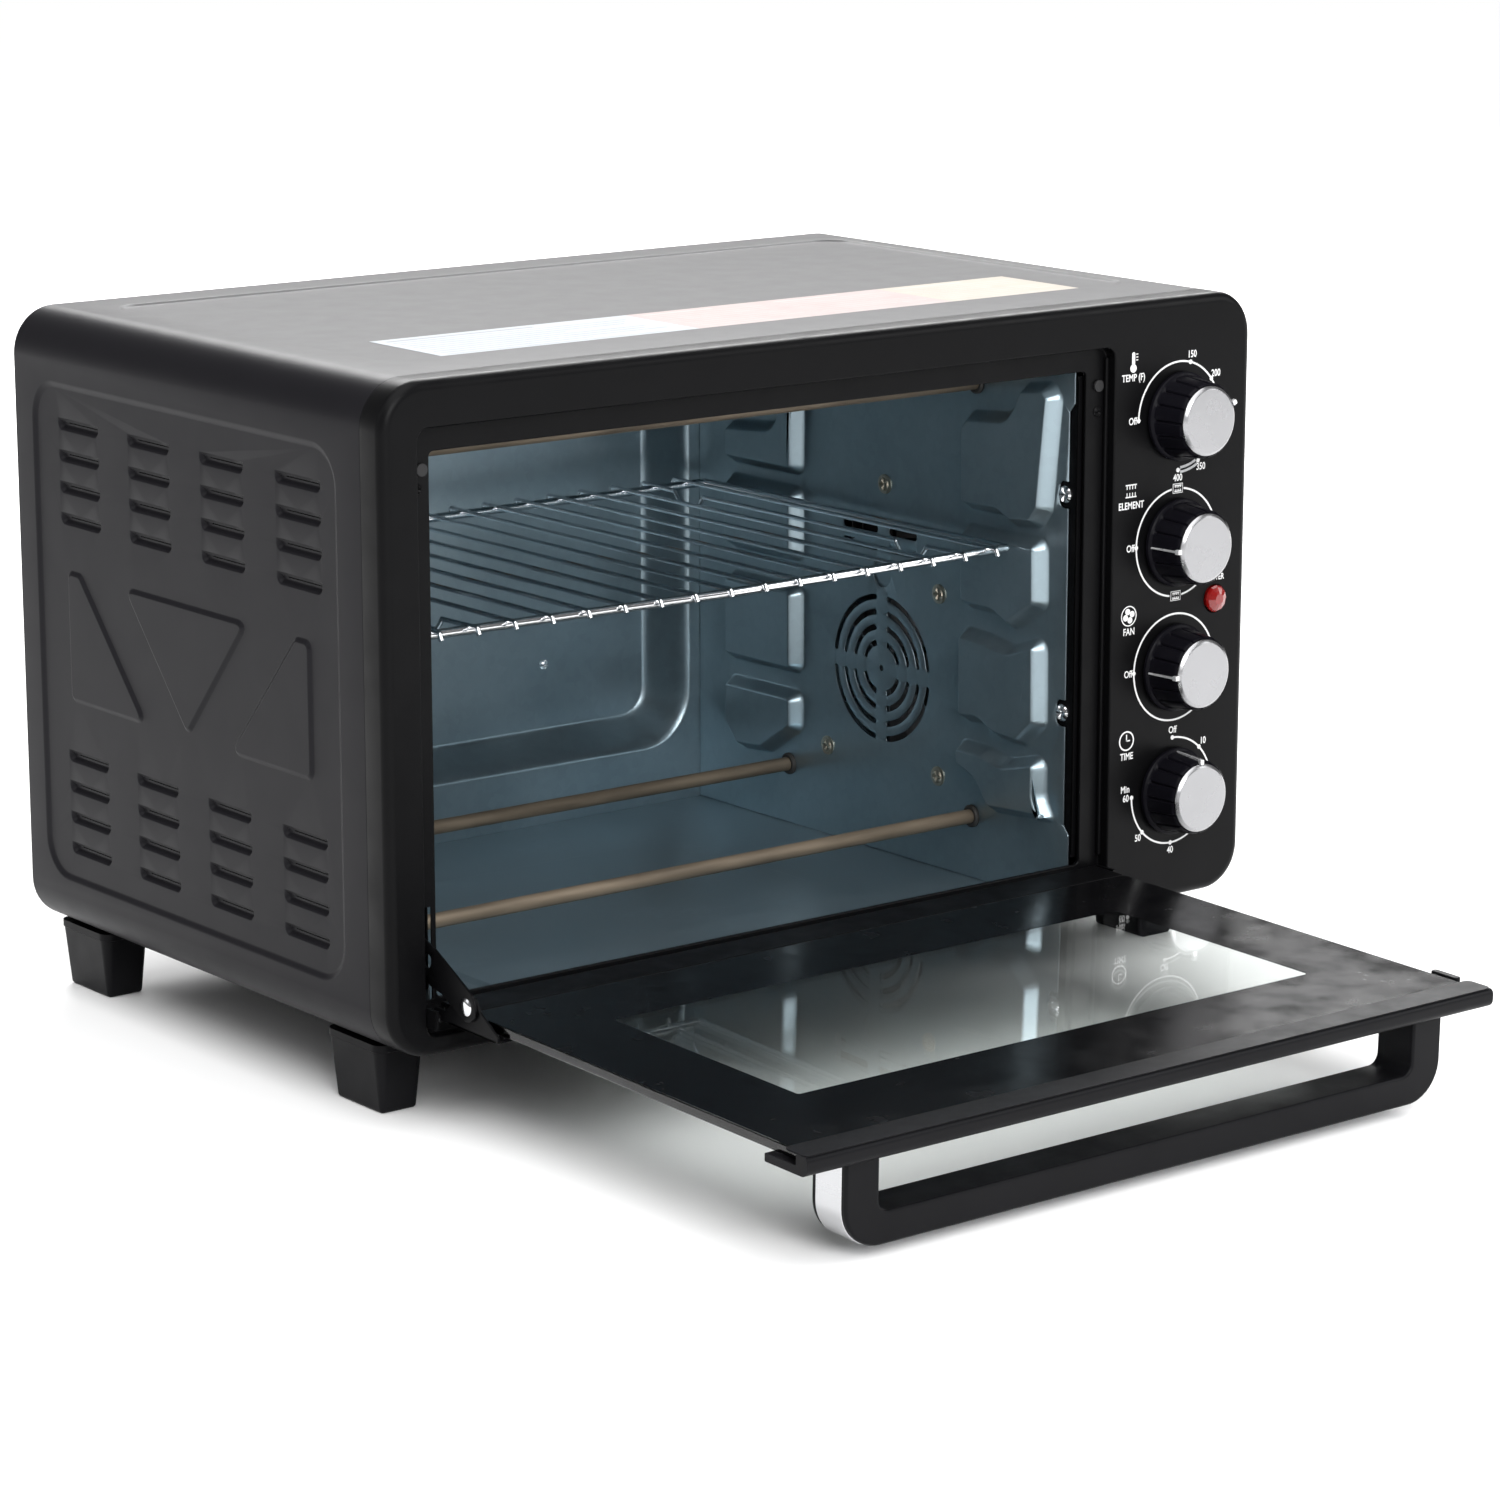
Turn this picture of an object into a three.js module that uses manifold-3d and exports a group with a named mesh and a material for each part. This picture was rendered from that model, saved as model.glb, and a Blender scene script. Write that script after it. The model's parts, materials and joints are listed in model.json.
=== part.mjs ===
// Countertop toaster oven with a drop-down glass door, modelled with the door open.
// Millimetres, +Z up, front towards -Y, floor at z = 0.
import * as THREE from "three";
import { mergeVertices } from "three/addons/utils/BufferGeometryUtils.js";
import Module from "manifold-3d";

const wasm = await Module();
wasm.setup();

// ---- driving dimensions -------------------------------------------------
const bodyWidth = 470;
const bodyHeight = 275.7;
const shellDepth = 272;
const footHeight = 30;
const gap = 0.3; // clearance kept between neighbouring pieces
const sheet = 1; // folded steel
const shellRadius = 20;
const footFlange = 30; // width of the sheet folded under each side
const panelSetback = 6.5; // rear edge of the shell to the rear panel

const frameDepth = 15;
const frameRadius = 22;
const frameChamfer = 4;
const frameWall = 3;
const recessDepth = 6;
const recessSide = 16.5; // body side to the door recess
const recessHead = 18.4; // body top to the door recess
const recessFoot = 7.7; // body underside to the door recess
const recessRadius = 6;
const controlWidth = 82; // control panel, from the recess to the body side
const flatThickness = 2.1; // frame material behind the door recess

const openingLeftStep = 9.5; // recess edge to opening edge
const openingRightStep = 12;
const openingHeadStep = 10.6;
const openingFootStep = 14.5;
const wallSet = 4; // the right liner wall stands this far inside the opening edge
const floorRise = 2.9; // body underside to the top face of the cavity floor
const wallTabReach = 4.8; // how far the liner corners reach past the middle of its front edge
const wallTabHeight = 16;

const bulgeDepth = 22;
const bulgeInset = 20;
const bulgeShoulder = 0.55; // share of the bulge depth reached at its edges
const bulgeCrown = 1.45; // control point of the bulge arc, in bulge depths

const rodRadius = 3.3;
const rodHeadroom = 13; // element axis to the cavity roof
const rodFloorRise = 29.5; // element axis to the cavity floor
const rodFrontY = 60;
const rodRearSet = 71; // rear elements to the cavity back
const rodOverhang = 4; // full-thickness rod beyond each wall
const terminalRadius = 1.6;
const terminalLength = 12;

const supportDepth = 7; // how far the rack supports stand into the cavity
const supportTopShares = [0.245, 0.463, 0.651, 0.89]; // of the cavity height
const supportBottomShares = [0.167, 0.29, 0.52, 0.713];
const supportFrontY = 12;
const supportFrontLength = 40;
const supportRearSet = 15.5;
const supportRearLength = 63;
const rackLevel = 2; // support that carries the rack, counted from the floor

const rackBarRadius = 2;
const rackWireRadius = 1.1;
const rackWires = 17;
const rackSideGap = 3;
const rackFrontY = 20;
const rackRearSet = 12.5;
const rackDipDepth = 8;
const rackDipLength = 18;
const rackDipStart = 26;
const wireSink = 0.4; // share of the wire radius sunk into the bars

const grilleRings = [12.2, 19.5, 26.6, 33.7];
const grilleSlotWidth = 2.8;
const grilleSpoke = 4;
const fanHeight = 0.361; // fan axis, as a share of the cavity height
const fanRadius = 50;
const fanBladeCount = 6;
const fanDepth = 12;
const fanShaftRadius = 2.5;
const fanHubRadius = 9;
const fanHousingRadius = 58;
const fanHousingDepth = 22;
const fanHousingFlange = 5;
const motorSize = 54;
const motorLength = 38;
const driveHoleRadius = 7;
const driveHoleRise = 45.5; // above the fan axis
const ventLength = 26;
const ventHeight = 4;
const ventSpread = 34;
const ventPitch = 9;
const ventRise = 57; // lower vent row above the fan axis
const rearVentCount = 7;
const rearVentPitch = 12;

const knobSetSide = 44; // body side to the knob axes
const knobSetTop = 53.3; // body top to the first knob axis
const knobPitchShare = 0.2075; // of the body height
const knobBaseRadius = 20;
const knobEndRadius = 16.6;
const knobLength = 18;
const knobFlutes = 12;
const knobFluteDepth = 0.7;
const knobCapRadius = 15.2;
const knobCapHeight = 2.6;
const knobCapSeat = 1.4;
const knobStemRadius = 3;
const knobStemLength = 22;
const knobStandoff = 0.9; // air between a knob and the panel
const stemHoleGap = 1.5;

const lampSetSide = 19.6;
const lampRadius = 6;
const lampDepth = 18;

const hingeForward = 2; // hinge axis in front of the frame face
const hingeRise = 9.3; // hinge axis above the foot of the recess
const openAngle = THREE.MathUtils.degToRad(91.1);
const pinRadius = 1.8;
const armThickness = 1.2;
const armInset = 5.2; // recess side wall to the near face of a door hinge arm
const armLeaf = 24;
const earThickness = 1.5;
const glassFace = 5.75; // inner face of the glass, measured from the hinge axis
const glassThickness = 4;
const glassLow = 17;
const glassHeadGap = 10.3; // recess head to the upper edge of the glass
const glassSideGap = 8.25; // recess wall to glass edge
const trimSideGap = 4.75;
const trimHeadGap = 3.3;
const trimDepth = 25;
const trimThickness = 7.7;
const railLow = -3;
const railLap = 24;
const railSheet = 1.2;

const handleWidth = 315;
const handleSet = 6; // trim edge to the handle
const handleDepth = 20.4;
const handleReach = 38; // hinge axis plane to the far face of the grip
const gripThickness = 13;
const postThickness = 16.4;
const handleRadius = 18;
const handleInnerRadius = 5;
const stripThickness = 1.2;
const stripWidth = 15;

const rivetAlong = 21.5;
const rivetAway = 10.1;
const rivetRadius = 2;
const rivetHeadRadius = 3.8;
const rivetHead = 1;
const linkAngle = THREE.MathUtils.degToRad(26); // rise of the check link with the door open
const linkThickness = 1.2;
const linkLength = 46;
const linkHalfWidth = 6.3;
const slotWallLeft = 1.8; // recess side wall to the link slot
const slotWidth = 6.1;
const slotHeight = 39;

const footBottom = [17.5, 37];
const footTop = [24, 40];
const footSetX = 23; // body side to foot centre
const footFrontY = 31;
const footRearSet = 23; // rear edge of the shell to foot centre

const bumperRadius = 2.6;
const bumperHeight = 1;
const bumperSet = 6; // recess edge to bumper centre
const bumperDrop = 18;

const glandSetSide = 45;
const glandRise = 31.7; // above the body underside
const glandRadius = 8;
const glandBore = 3.6;

// Positions that follow from the sizes above.
const half = bodyWidth / 2;
const bodyBottom = footHeight + gap;
const bodyTop = bodyBottom + bodyHeight;
const cavityBack = shellDepth - panelSetback;
const recessLeft = -half + recessSide;
const recessRight = half - controlWidth;
const recessTop = bodyTop - recessHead;
const recessBottom = bodyBottom + recessFoot;
const openingLeft = recessLeft + openingLeftStep;
const openingRight = recessRight - openingRightStep;
const openingTop = recessTop - openingHeadStep;
const openingBottom = recessBottom + openingFootStep;
const wallRight = openingRight - wallSet; // inner face of the right liner wall
const wallLeft = openingLeft - sheet / 2; // inner face of the left liner wall
const floorHeight = bodyBottom + floorRise;
const cavityHeight = openingTop - floorHeight;
const rodRearY = cavityBack - rodRearSet;
const rodLowZ = floorHeight + rodFloorRise;
const rodHighZ = openingTop - rodHeadroom;
const supportTops = supportTopShares.map((share) => floorHeight + share * cavityHeight);
const supportBottoms = supportBottomShares.map((share) => floorHeight + share * cavityHeight);
const rackRearY = cavityBack - rackRearSet;
const fanY = cavityBack / 2 - 6.75;
const fanZ = floorHeight + fanHeight * cavityHeight;
const driveHoleZ = fanZ + driveHoleRise;
const knobX = half - knobSetSide;
const knobPitch = knobPitchShare * bodyHeight;
const knobHeights = [0, 1, 2, 3].map((i) => bodyTop - knobSetTop - i * knobPitch);
const lampX = half - lampSetSide;
const lampZ = (knobHeights[1] + knobHeights[2]) / 2;
const frameFace = -gap - frameDepth;
const recessFace = frameFace + recessDepth;
const recessBack = recessFace + flatThickness;
const linerFront = recessBack + gap;
const hingeY = frameFace - hingeForward;
const hingeZ = recessBottom + hingeRise;
const glassHigh = recessTop - glassHeadGap - hingeZ;
const trimHigh = recessTop - trimHeadGap - hingeZ;
const trimLow = trimHigh - trimDepth;
const handleHigh = trimHigh - handleSet;
const slotLeft = recessLeft + slotWallLeft;
const slotRight = slotLeft + slotWidth;
const slotTop = openingBottom + slotHeight;
const bulgeBottom = floorHeight + bulgeInset + wallTabHeight / 2;
const bulgeTop = openingTop - bulgeInset - wallTabHeight / 2;
const glandX = half - glandSetSide;
const glandZ = bodyBottom + glandRise;

// ---- finishes -----------------------------------------------------------
function finish(color, roughness, metalness) {
  return new THREE.MeshStandardMaterial({ color, roughness, metalness });
}
const charcoalPaint = finish(0x38373b, 0.45, 0.2);
const blackPaint = finish(0x1f1f20, 0.4, 0.1);
const zincSteel = finish(0x7b8890, 0.35, 0.9);
const elementSteel = finish(0x6d6252, 0.6, 0.5);
const chromeWire = finish(0xd0d2d4, 0.15, 1);
const castAlloy = finish(0x9a9c9e, 0.4, 0.9);
const blackPlastic = finish(0x222226, 0.5, 0);
const whiteCeramic = finish(0xd8d4c8, 0.7, 0);
const brushedSteel = finish(0xb9bbbd, 0.3, 1);
const smokedGlass = finish(0x101114, 0.05, 0);
const redLens = finish(0xa01810, 0.3, 0);
const darkRubber = finish(0x2b2b2e, 0.8, 0);

// ---- solid helpers ------------------------------------------------------
function solid(geometry) {
  const bare = geometry.clone();
  bare.deleteAttribute("normal");
  bare.deleteAttribute("uv");
  const merged = mergeVertices(bare, 1e-4);
  const vertProperties = new Float32Array(merged.attributes.position.array);
  const triVerts = new Uint32Array(merged.index.array);
  return new wasm.Manifold(new wasm.Mesh({ numProp: 3, vertProperties, triVerts }));
}

function geometryOf(body) {
  const made = body.getMesh();
  const positions = new Float32Array(made.numVert * 3);
  for (let i = 0; i < made.numVert; i++) {
    positions.set(made.vertProperties.subarray(i * made.numProp, i * made.numProp + 3), i * 3);
  }
  const geometry = new THREE.BufferGeometry();
  geometry.setAttribute("position", new THREE.BufferAttribute(positions, 3));
  geometry.setIndex(new THREE.BufferAttribute(made.triVerts, 1));
  const flat = geometry.toNonIndexed();
  flat.computeVertexNormals();
  return flat;
}

// Adds every following solid to the first one.
function join(first, ...others) {
  return others.reduce((sum, next) => sum.add(next), first);
}

// Takes every following solid away from the first one.
function cut(first, ...others) {
  return others.reduce((left, next) => left.subtract(next), first);
}

function rect(x0, y0, x1, y1) {
  const shape = new THREE.Shape();
  shape.moveTo(x0, y0);
  shape.lineTo(x1, y0);
  shape.lineTo(x1, y1);
  shape.lineTo(x0, y1);
  shape.closePath();
  return shape;
}

function roundRect(x0, y0, x1, y1, r) {
  const shape = new THREE.Shape();
  const quarter = Math.PI / 2;
  shape.absarc(x1 - r, y0 + r, r, -quarter, 0);
  shape.absarc(x1 - r, y1 - r, r, 0, quarter);
  shape.absarc(x0 + r, y1 - r, r, quarter, 2 * quarter);
  shape.absarc(x0 + r, y0 + r, r, 2 * quarter, 3 * quarter);
  shape.closePath();
  return shape;
}

function disc(x, y, r) {
  const shape = new THREE.Shape();
  shape.absarc(x, y, r, 0, 2 * Math.PI);
  return shape;
}

function extruded(shape, length, segments) {
  return new THREE.ExtrudeGeometry(shape, {
    depth: length,
    bevelEnabled: false,
    curveSegments: segments,
  });
}

// Outline in X and Y, between two heights.
function alongZ(shape, z0, z1, segments = 4) {
  return solid(extruded(shape, z1 - z0, segments).translate(0, 0, z0));
}

// Outline in X and Z, between two depths.
function alongY(shape, y0, y1, segments = 4) {
  return solid(extruded(shape, y1 - y0, segments).rotateX(Math.PI / 2).translate(0, y1, 0));
}

// Outline in Y and Z, between two sides.
function alongX(shape, x0, x1, segments = 4) {
  const turn = new THREE.Matrix4().makeBasis(
    new THREE.Vector3(0, 1, 0),
    new THREE.Vector3(0, 0, 1),
    new THREE.Vector3(1, 0, 0),
  );
  return solid(extruded(shape, x1 - x0, segments).applyMatrix4(turn).translate(x0, 0, 0));
}

function box(x0, x1, y0, y1, z0, z1) {
  return alongZ(rect(x0, y0, x1, y1), z0, z1);
}

// A turned piece: profile pairs are radius and distance along the axis.
function turned(profile, segments) {
  const points = profile.map(([r, d]) => new THREE.Vector2(r, d));
  return new THREE.LatheGeometry(points, segments);
}

// Turned piece whose axis runs along +Y.
function turnedY(profile, x, z, segments = 24) {
  return solid(turned(profile, segments).translate(x, 0, z));
}

// Turned piece whose axis runs along +X.
function turnedX(profile, y, z, segments = 16) {
  return solid(turned(profile, segments).rotateZ(-Math.PI / 2).translate(0, y, z));
}

function rodAlongX(x0, x1, y, z, r, segments = 10) {
  return turnedX([[0, x0], [r, x0], [r, x1], [0, x1]], y, z, segments);
}

function rodAlongY(y0, y1, x, z, r, segments = 10) {
  return turnedY([[0, y0], [r, y0], [r, y1], [0, y1]], x, z, segments);
}

function rodAlongZ(z0, z1, x, y, r, segments = 10) {
  const geometry = turned([[0, z0], [r, z0], [r, z1], [0, z1]], segments);
  return solid(geometry.rotateX(Math.PI / 2).translate(x, y, 0));
}

// ---- assembly -----------------------------------------------------------
const root = new THREE.Group();
root.name = "toaster_oven";

function place(name, body, material, parent = root) {
  const mesh = new THREE.Mesh(geometryOf(body), material);
  mesh.name = name;
  parent.add(mesh);
  return mesh;
}

// Outer shell: one sheet over the top, down both sides and folded under.
function shellOutline(inset) {
  return roundRect(
    -half + inset,
    bodyBottom + inset,
    half - inset,
    bodyTop - inset,
    shellRadius - inset,
  );
}
const shellBlank = cut(
  alongY(shellOutline(0), 0, shellDepth, 6),
  alongY(shellOutline(sheet), -1, shellDepth + 1, 6),
);
const shellMouth = box(
  -half + footFlange, half - footFlange, -1, shellDepth + 1, bodyBottom - 1, bodyBottom + 2 * sheet,
);
place("outer_shell", cut(shellBlank, shellMouth), charcoalPaint);

// Bottom plate between the folded edges of the shell.
const plateHalf = half - footFlange - gap;
place(
  "bottom_plate",
  box(-plateHalf, plateHalf, 0, cavityBack - gap, bodyBottom, bodyBottom + sheet),
  charcoalPaint,
);

// Rear panel: closes the body and is pressed outwards behind the cavity.
const panelInset = sheet + gap;
const bulgeLeft = wallLeft + bulgeInset;
const bulgeRight = wallRight - bulgeInset;
function bulgeOutline(offset) {
  const middle = (bulgeLeft + bulgeRight) / 2;
  const shoulder = cavityBack + bulgeDepth * bulgeShoulder + offset;
  const shape = new THREE.Shape();
  shape.moveTo(bulgeLeft - offset, cavityBack - 1);
  shape.lineTo(bulgeRight + offset, cavityBack - 1);
  shape.lineTo(bulgeRight - shellRadius / 2 + offset, shoulder);
  shape.quadraticCurveTo(
    middle, cavityBack + bulgeCrown * bulgeDepth + offset, bulgeLeft + shellRadius / 2 - offset, shoulder,
  );
  shape.closePath();
  return shape;
}
const rearSheet = alongY(
  roundRect(
    -half + panelInset, bodyBottom + panelInset, half - panelInset, bodyTop - panelInset,
    shellRadius - panelInset,
  ),
  cavityBack,
  cavityBack + sheet,
);
const bulgeOuter = alongZ(bulgeOutline(sheet), bulgeBottom - sheet, bulgeTop + sheet)
  .subtract(box(-half, half, 0, cavityBack, 0, bodyTop));
const bulgeInner = alongZ(bulgeOutline(0), bulgeBottom, bulgeTop);
const rearVents = [];
for (let i = 0; i < rearVentCount; i++) {
  const z = fanZ + (i - (rearVentCount - 1) / 2) * rearVentPitch;
  rearVents.push(
    box(knobX - ventLength, knobX + ventLength, cavityBack - 1, cavityBack + 2, z, z + ventHeight),
  );
}
const glandHole = rodAlongY(
  cavityBack - 1, cavityBack + 2, glandX, glandZ, glandRadius + gap, 20,
);
place(
  "rear_panel",
  cut(join(rearSheet, bulgeOuter), bulgeInner, glandHole, ...rearVents),
  charcoalPaint,
);

// Front frame: moulded surround with the door recess, opening and control panel.
const frameBlank = new THREE.ExtrudeGeometry(
  roundRect(-half, bodyBottom, half, bodyTop, frameRadius),
  {
    depth: 2 * frameDepth,
    curveSegments: 5,
    bevelEnabled: true,
    bevelThickness: frameChamfer,
    bevelSize: frameChamfer,
    bevelOffset: -frameChamfer,
    bevelSegments: 1,
  },
).rotateX(Math.PI / 2).translate(0, 2 * frameDepth + frameChamfer + frameFace, 0);
const frameBody = solid(frameBlank).subtract(
  box(-bodyWidth, bodyWidth, -gap, 4 * frameDepth, 0, 2 * bodyHeight),
);
const doorRecess = alongY(
  roundRect(recessLeft, recessBottom, recessRight, recessTop, recessRadius),
  frameFace - 1,
  recessFace,
);
const doorway = alongY(
  rect(openingLeft, openingBottom, openingRight, openingTop),
  frameFace - 1,
  1,
);
const hollowOutline = roundRect(
  -half + frameWall, bodyBottom + frameWall, half - frameWall, bodyTop - frameWall,
  frameRadius - frameWall,
);
const hollowFront = alongY(hollowOutline, frameFace + frameWall, recessBack + gap);
const hollowBack = alongY(hollowOutline, recessBack, 1);
const recessShell = alongY(
  rect(
    recessLeft - frameWall, recessBottom - frameWall - 1, recessRight + frameWall,
    recessTop + frameWall,
  ),
  frameFace,
  recessBack,
);
const linerRebate = box(
  wallLeft - 2 * sheet, wallRight + 2 * sheet, recessBack, 1,
  floorHeight - sheet - gap, openingBottom,
);
const linkSlot = alongY(rect(slotLeft, openingBottom, slotRight, slotTop), frameFace, 1);
const panelHoles = knobHeights.map(
  (z) => rodAlongY(frameFace - 1, 1, knobX, z, knobStemRadius + stemHoleGap, 10),
);
panelHoles.push(rodAlongY(frameFace - 1, 1, lampX, lampZ, lampRadius + 2 * gap, 14));
place(
  "front_frame",
  cut(
    frameBody, doorRecess, doorway, hollowBack, hollowFront.subtract(recessShell),
    linerRebate, linkSlot, ...panelHoles,
  ),
  blackPaint,
);

// Liner: two side walls, a floor with a raised front lip and a roof.
const wallFrontEdge = linerFront + wallTabReach;
function wallOutline() {
  const low = floorHeight + gap;
  const high = openingTop - gap;
  const shape = new THREE.Shape();
  shape.moveTo(cavityBack - gap, low);
  shape.lineTo(cavityBack - gap, high);
  shape.lineTo(linerFront + sheet + gap, high);
  shape.lineTo(linerFront + sheet + gap, high - wallTabHeight / 2);
  shape.lineTo(wallFrontEdge, high - wallTabHeight);
  shape.lineTo(wallFrontEdge, openingBottom + wallTabHeight);
  shape.lineTo(linerFront + sheet + gap, openingBottom + wallTabHeight / 2);
  shape.lineTo(linerFront + sheet + gap, low);
  shape.closePath();
  return shape;
}

// Pressed rack supports, hollow at the back. side is +1 for the right wall.
function supports(face, side) {
  const lumps = [];
  const hollows = [];
  const rearEnd = cavityBack - supportRearSet;
  const spans = [
    [supportFrontY, supportFrontY + supportFrontLength],
    [rearEnd - supportRearLength, rearEnd],
  ];
  for (const [y0, y1] of spans) {
    supportTops.forEach((top, i) => {
      const bottom = supportBottoms[i];
      const inner = face - side * supportDepth;
      const outer = face + side * sheet / 2;
      lumps.push(
        box(Math.min(inner, outer), Math.max(inner, outer), y0, y1, bottom, top),
      );
      const hollowInner = inner + side * sheet;
      const hollowOuter = face + side * 3 * sheet;
      hollows.push(
        box(
          Math.min(hollowInner, hollowOuter), Math.max(hollowInner, hollowOuter),
          y0 + sheet, y1 - sheet, bottom + sheet, top - sheet,
        ),
      );
    });
  }
  return [lumps, hollows];
}

const rodPlaces = [
  ["element_lower_front", rodFrontY, rodLowZ],
  ["element_lower_rear", rodRearY, rodLowZ],
  ["element_upper_front", rodFrontY, rodHighZ],
  ["element_upper_rear", rodRearY, rodHighZ],
];

function rodHoles(x0, x1) {
  return rodPlaces.map(([, y, z]) => rodAlongX(x0, x1, y, z, rodRadius + gap, 12));
}

function liningWall(face, side) {
  const x0 = Math.min(face, face + side * sheet);
  const [lumps, hollows] = supports(face, side);
  return cut(
    join(alongX(wallOutline(), x0, x0 + sheet), ...lumps),
    ...hollows,
    ...rodHoles(x0 - 1, x0 + 2),
  );
}

// Ring of four slots around the fan axis.
function grilleSlots(radius) {
  const slots = [];
  for (let quarter = 0; quarter < 4; quarter++) {
    const inner = radius - grilleSlotWidth / 2;
    const outer = radius + grilleSlotWidth / 2;
    const clear = grilleSpoke / 2 / radius + grilleSlotWidth / 2 / radius;
    const start = quarter * Math.PI / 2 + clear;
    const end = (quarter + 1) * Math.PI / 2 - clear;
    const shape = new THREE.Shape();
    shape.absarc(fanY, fanZ, outer, start, end);
    shape.absarc(fanY, fanZ, inner, end, start, true);
    shape.closePath();
    slots.push(alongX(shape, wallRight - 1, wallRight + 2 * sheet, 3));
  }
  return slots;
}

const wallVents = [];
for (const y of [fanY - ventSpread / 2, fanY + ventSpread / 2]) {
  for (const z of [fanZ + ventRise, fanZ + ventRise + ventPitch]) {
    wallVents.push(
      alongX(
        rect(y - ventLength / 2, z - ventHeight / 2, y + ventLength / 2, z + ventHeight / 2),
        wallRight - 1,
        wallRight + 2 * sheet,
      ),
    );
  }
}
const driveHole = rodAlongX(
  wallRight - 1, wallRight + 2 * sheet, fanY, driveHoleZ, driveHoleRadius, 14,
);
place("cavity_left_wall", liningWall(wallLeft, -1), zincSteel);
place(
  "cavity_right_wall",
  cut(liningWall(wallRight, 1), ...grilleRings.flatMap(grilleSlots), ...wallVents, driveHole),
  zincSteel,
);

const linerLeft = wallLeft - sheet;
const linerRight = wallRight + sheet;
const floorSheet = box(
  linerLeft, linerRight, linerFront, cavityBack - gap, floorHeight - sheet, floorHeight,
);
const floorLip = box(
  openingLeft + gap, wallRight - gap, linerFront, linerFront + sheet,
  floorHeight - sheet, openingBottom,
);
place("cavity_floor", join(floorSheet, floorLip), zincSteel);
place(
  "cavity_roof",
  box(linerLeft, linerRight, linerFront, cavityBack - gap, openingTop, openingTop + sheet),
  zincSteel,
);

// Heating elements: straight rods carried by both walls, with thin terminals.
for (const [name, y, z] of rodPlaces) {
  const bodyStart = linerLeft - rodOverhang;
  const bodyEnd = linerRight + rodOverhang;
  const profile = [
    [0, bodyStart - terminalLength],
    [terminalRadius, bodyStart - terminalLength],
    [terminalRadius, bodyStart],
    [rodRadius, bodyStart],
    [rodRadius, bodyEnd],
    [terminalRadius, bodyEnd],
    [terminalRadius, bodyEnd + terminalLength],
    [0, bodyEnd + terminalLength],
  ];
  place(name, turnedX(profile, y, z, 12), elementSteel);
}

// Wire rack on the upper supports.
const rackZ = supportTops[rackLevel] + gap + rackBarRadius;
const rackLeft = wallLeft + rackSideGap + rackBarRadius;
const rackRight = wallRight - rackSideGap - rackBarRadius;
const wireZ = rackZ + rackBarRadius + rackWireRadius * (1 - wireSink);
const rackPieces = [
  rodAlongX(rackLeft, rackRight, rackFrontY, rackZ, rackBarRadius, 8),
  rodAlongX(rackLeft, rackRight, rackRearY, rackZ, rackBarRadius, 8),
  rodAlongY(rackFrontY - rackBarRadius, rackRearY + rackBarRadius, rackLeft, rackZ, rackBarRadius, 8),
  rodAlongY(rackFrontY - rackBarRadius, rackRearY + rackBarRadius, rackRight, rackZ, rackBarRadius, 8),
];
const wirePitch = (rackRight - rackLeft) / (rackWires + 1);
const wireEnd = rackBarRadius + rackWireRadius;
for (let i = 1; i <= rackWires; i++) {
  const x = rackLeft + i * wirePitch;
  rackPieces.push(
    rodAlongY(rackFrontY - wireEnd, rackRearY + wireEnd, x, wireZ, rackWireRadius, 5),
  );
}
// Two wires dip under the rack as stops.
for (const i of [2, rackWires - 1]) {
  const x = rackLeft + i * wirePitch;
  for (const start of [rackFrontY + rackDipStart, rackRearY - rackDipStart - rackDipLength]) {
    const low = wireZ - rackDipDepth;
    for (const y of [start, start + rackDipLength]) {
      rackPieces.push(rodAlongZ(low, wireZ, x, y, rackWireRadius, 5));
    }
    rackPieces.push(
      rodAlongY(start - rackWireRadius, start + rackDipLength + rackWireRadius, x, low,
        rackWireRadius, 5),
    );
  }
}
place("wire_rack", join(...rackPieces), chromeWire);

// Convection fan behind the grille.
const housingStart = wallRight + sheet + gap;
const housingEnd = housingStart + fanHousingDepth;
place(
  "fan_housing",
  turnedX(
    [
      [fanHousingRadius, housingStart],
      [fanHousingRadius + fanHousingFlange, housingStart],
      [fanHousingRadius + fanHousingFlange, housingStart + sheet],
      [fanHousingRadius + sheet, housingStart + sheet],
      [fanHousingRadius + sheet, housingEnd + sheet],
      [2 * fanShaftRadius, housingEnd + sheet],
      [2 * fanShaftRadius, housingEnd],
      [fanHousingRadius, housingEnd],
      [fanHousingRadius, housingStart],
    ],
    fanY,
    fanZ,
    24,
  ),
  zincSteel,
);
const bladeStart = housingStart + 4;
const fanPieces = [
  rodAlongX(bladeStart + fanDepth - 1.5, bladeStart + fanDepth, fanY, fanZ, fanRadius * 0.72, 18),
  rodAlongX(bladeStart + 2, bladeStart + fanDepth, fanY, fanZ, fanHubRadius, 12),
  rodAlongX(bladeStart + 2, housingEnd + 14, fanY, fanZ, fanShaftRadius, 8),
];
for (let i = 0; i < fanBladeCount; i++) {
  const blade = new THREE.BoxGeometry(fanDepth, 1.2, fanRadius - fanHubRadius + 2);
  blade.translate(bladeStart + fanDepth / 2, 0, (fanRadius + fanHubRadius - 2) / 2);
  blade.rotateX(i * 2 * Math.PI / fanBladeCount);
  blade.translate(0, fanY, fanZ);
  fanPieces.push(solid(blade));
}
place("fan_impeller", join(...fanPieces), castAlloy);
const motorStart = housingEnd + sheet + gap;
const motorHalf = motorSize / 2;
const motorBody = alongX(
  roundRect(fanY - motorHalf, fanZ - motorHalf, fanY + motorHalf, fanZ + motorHalf, 6),
  motorStart,
  motorStart + motorLength,
);
place(
  "fan_motor",
  motorBody.subtract(
    rodAlongX(motorStart - 1, housingEnd + 16, fanY, fanZ, fanShaftRadius + gap, 12),
  ),
  castAlloy,
);

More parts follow.
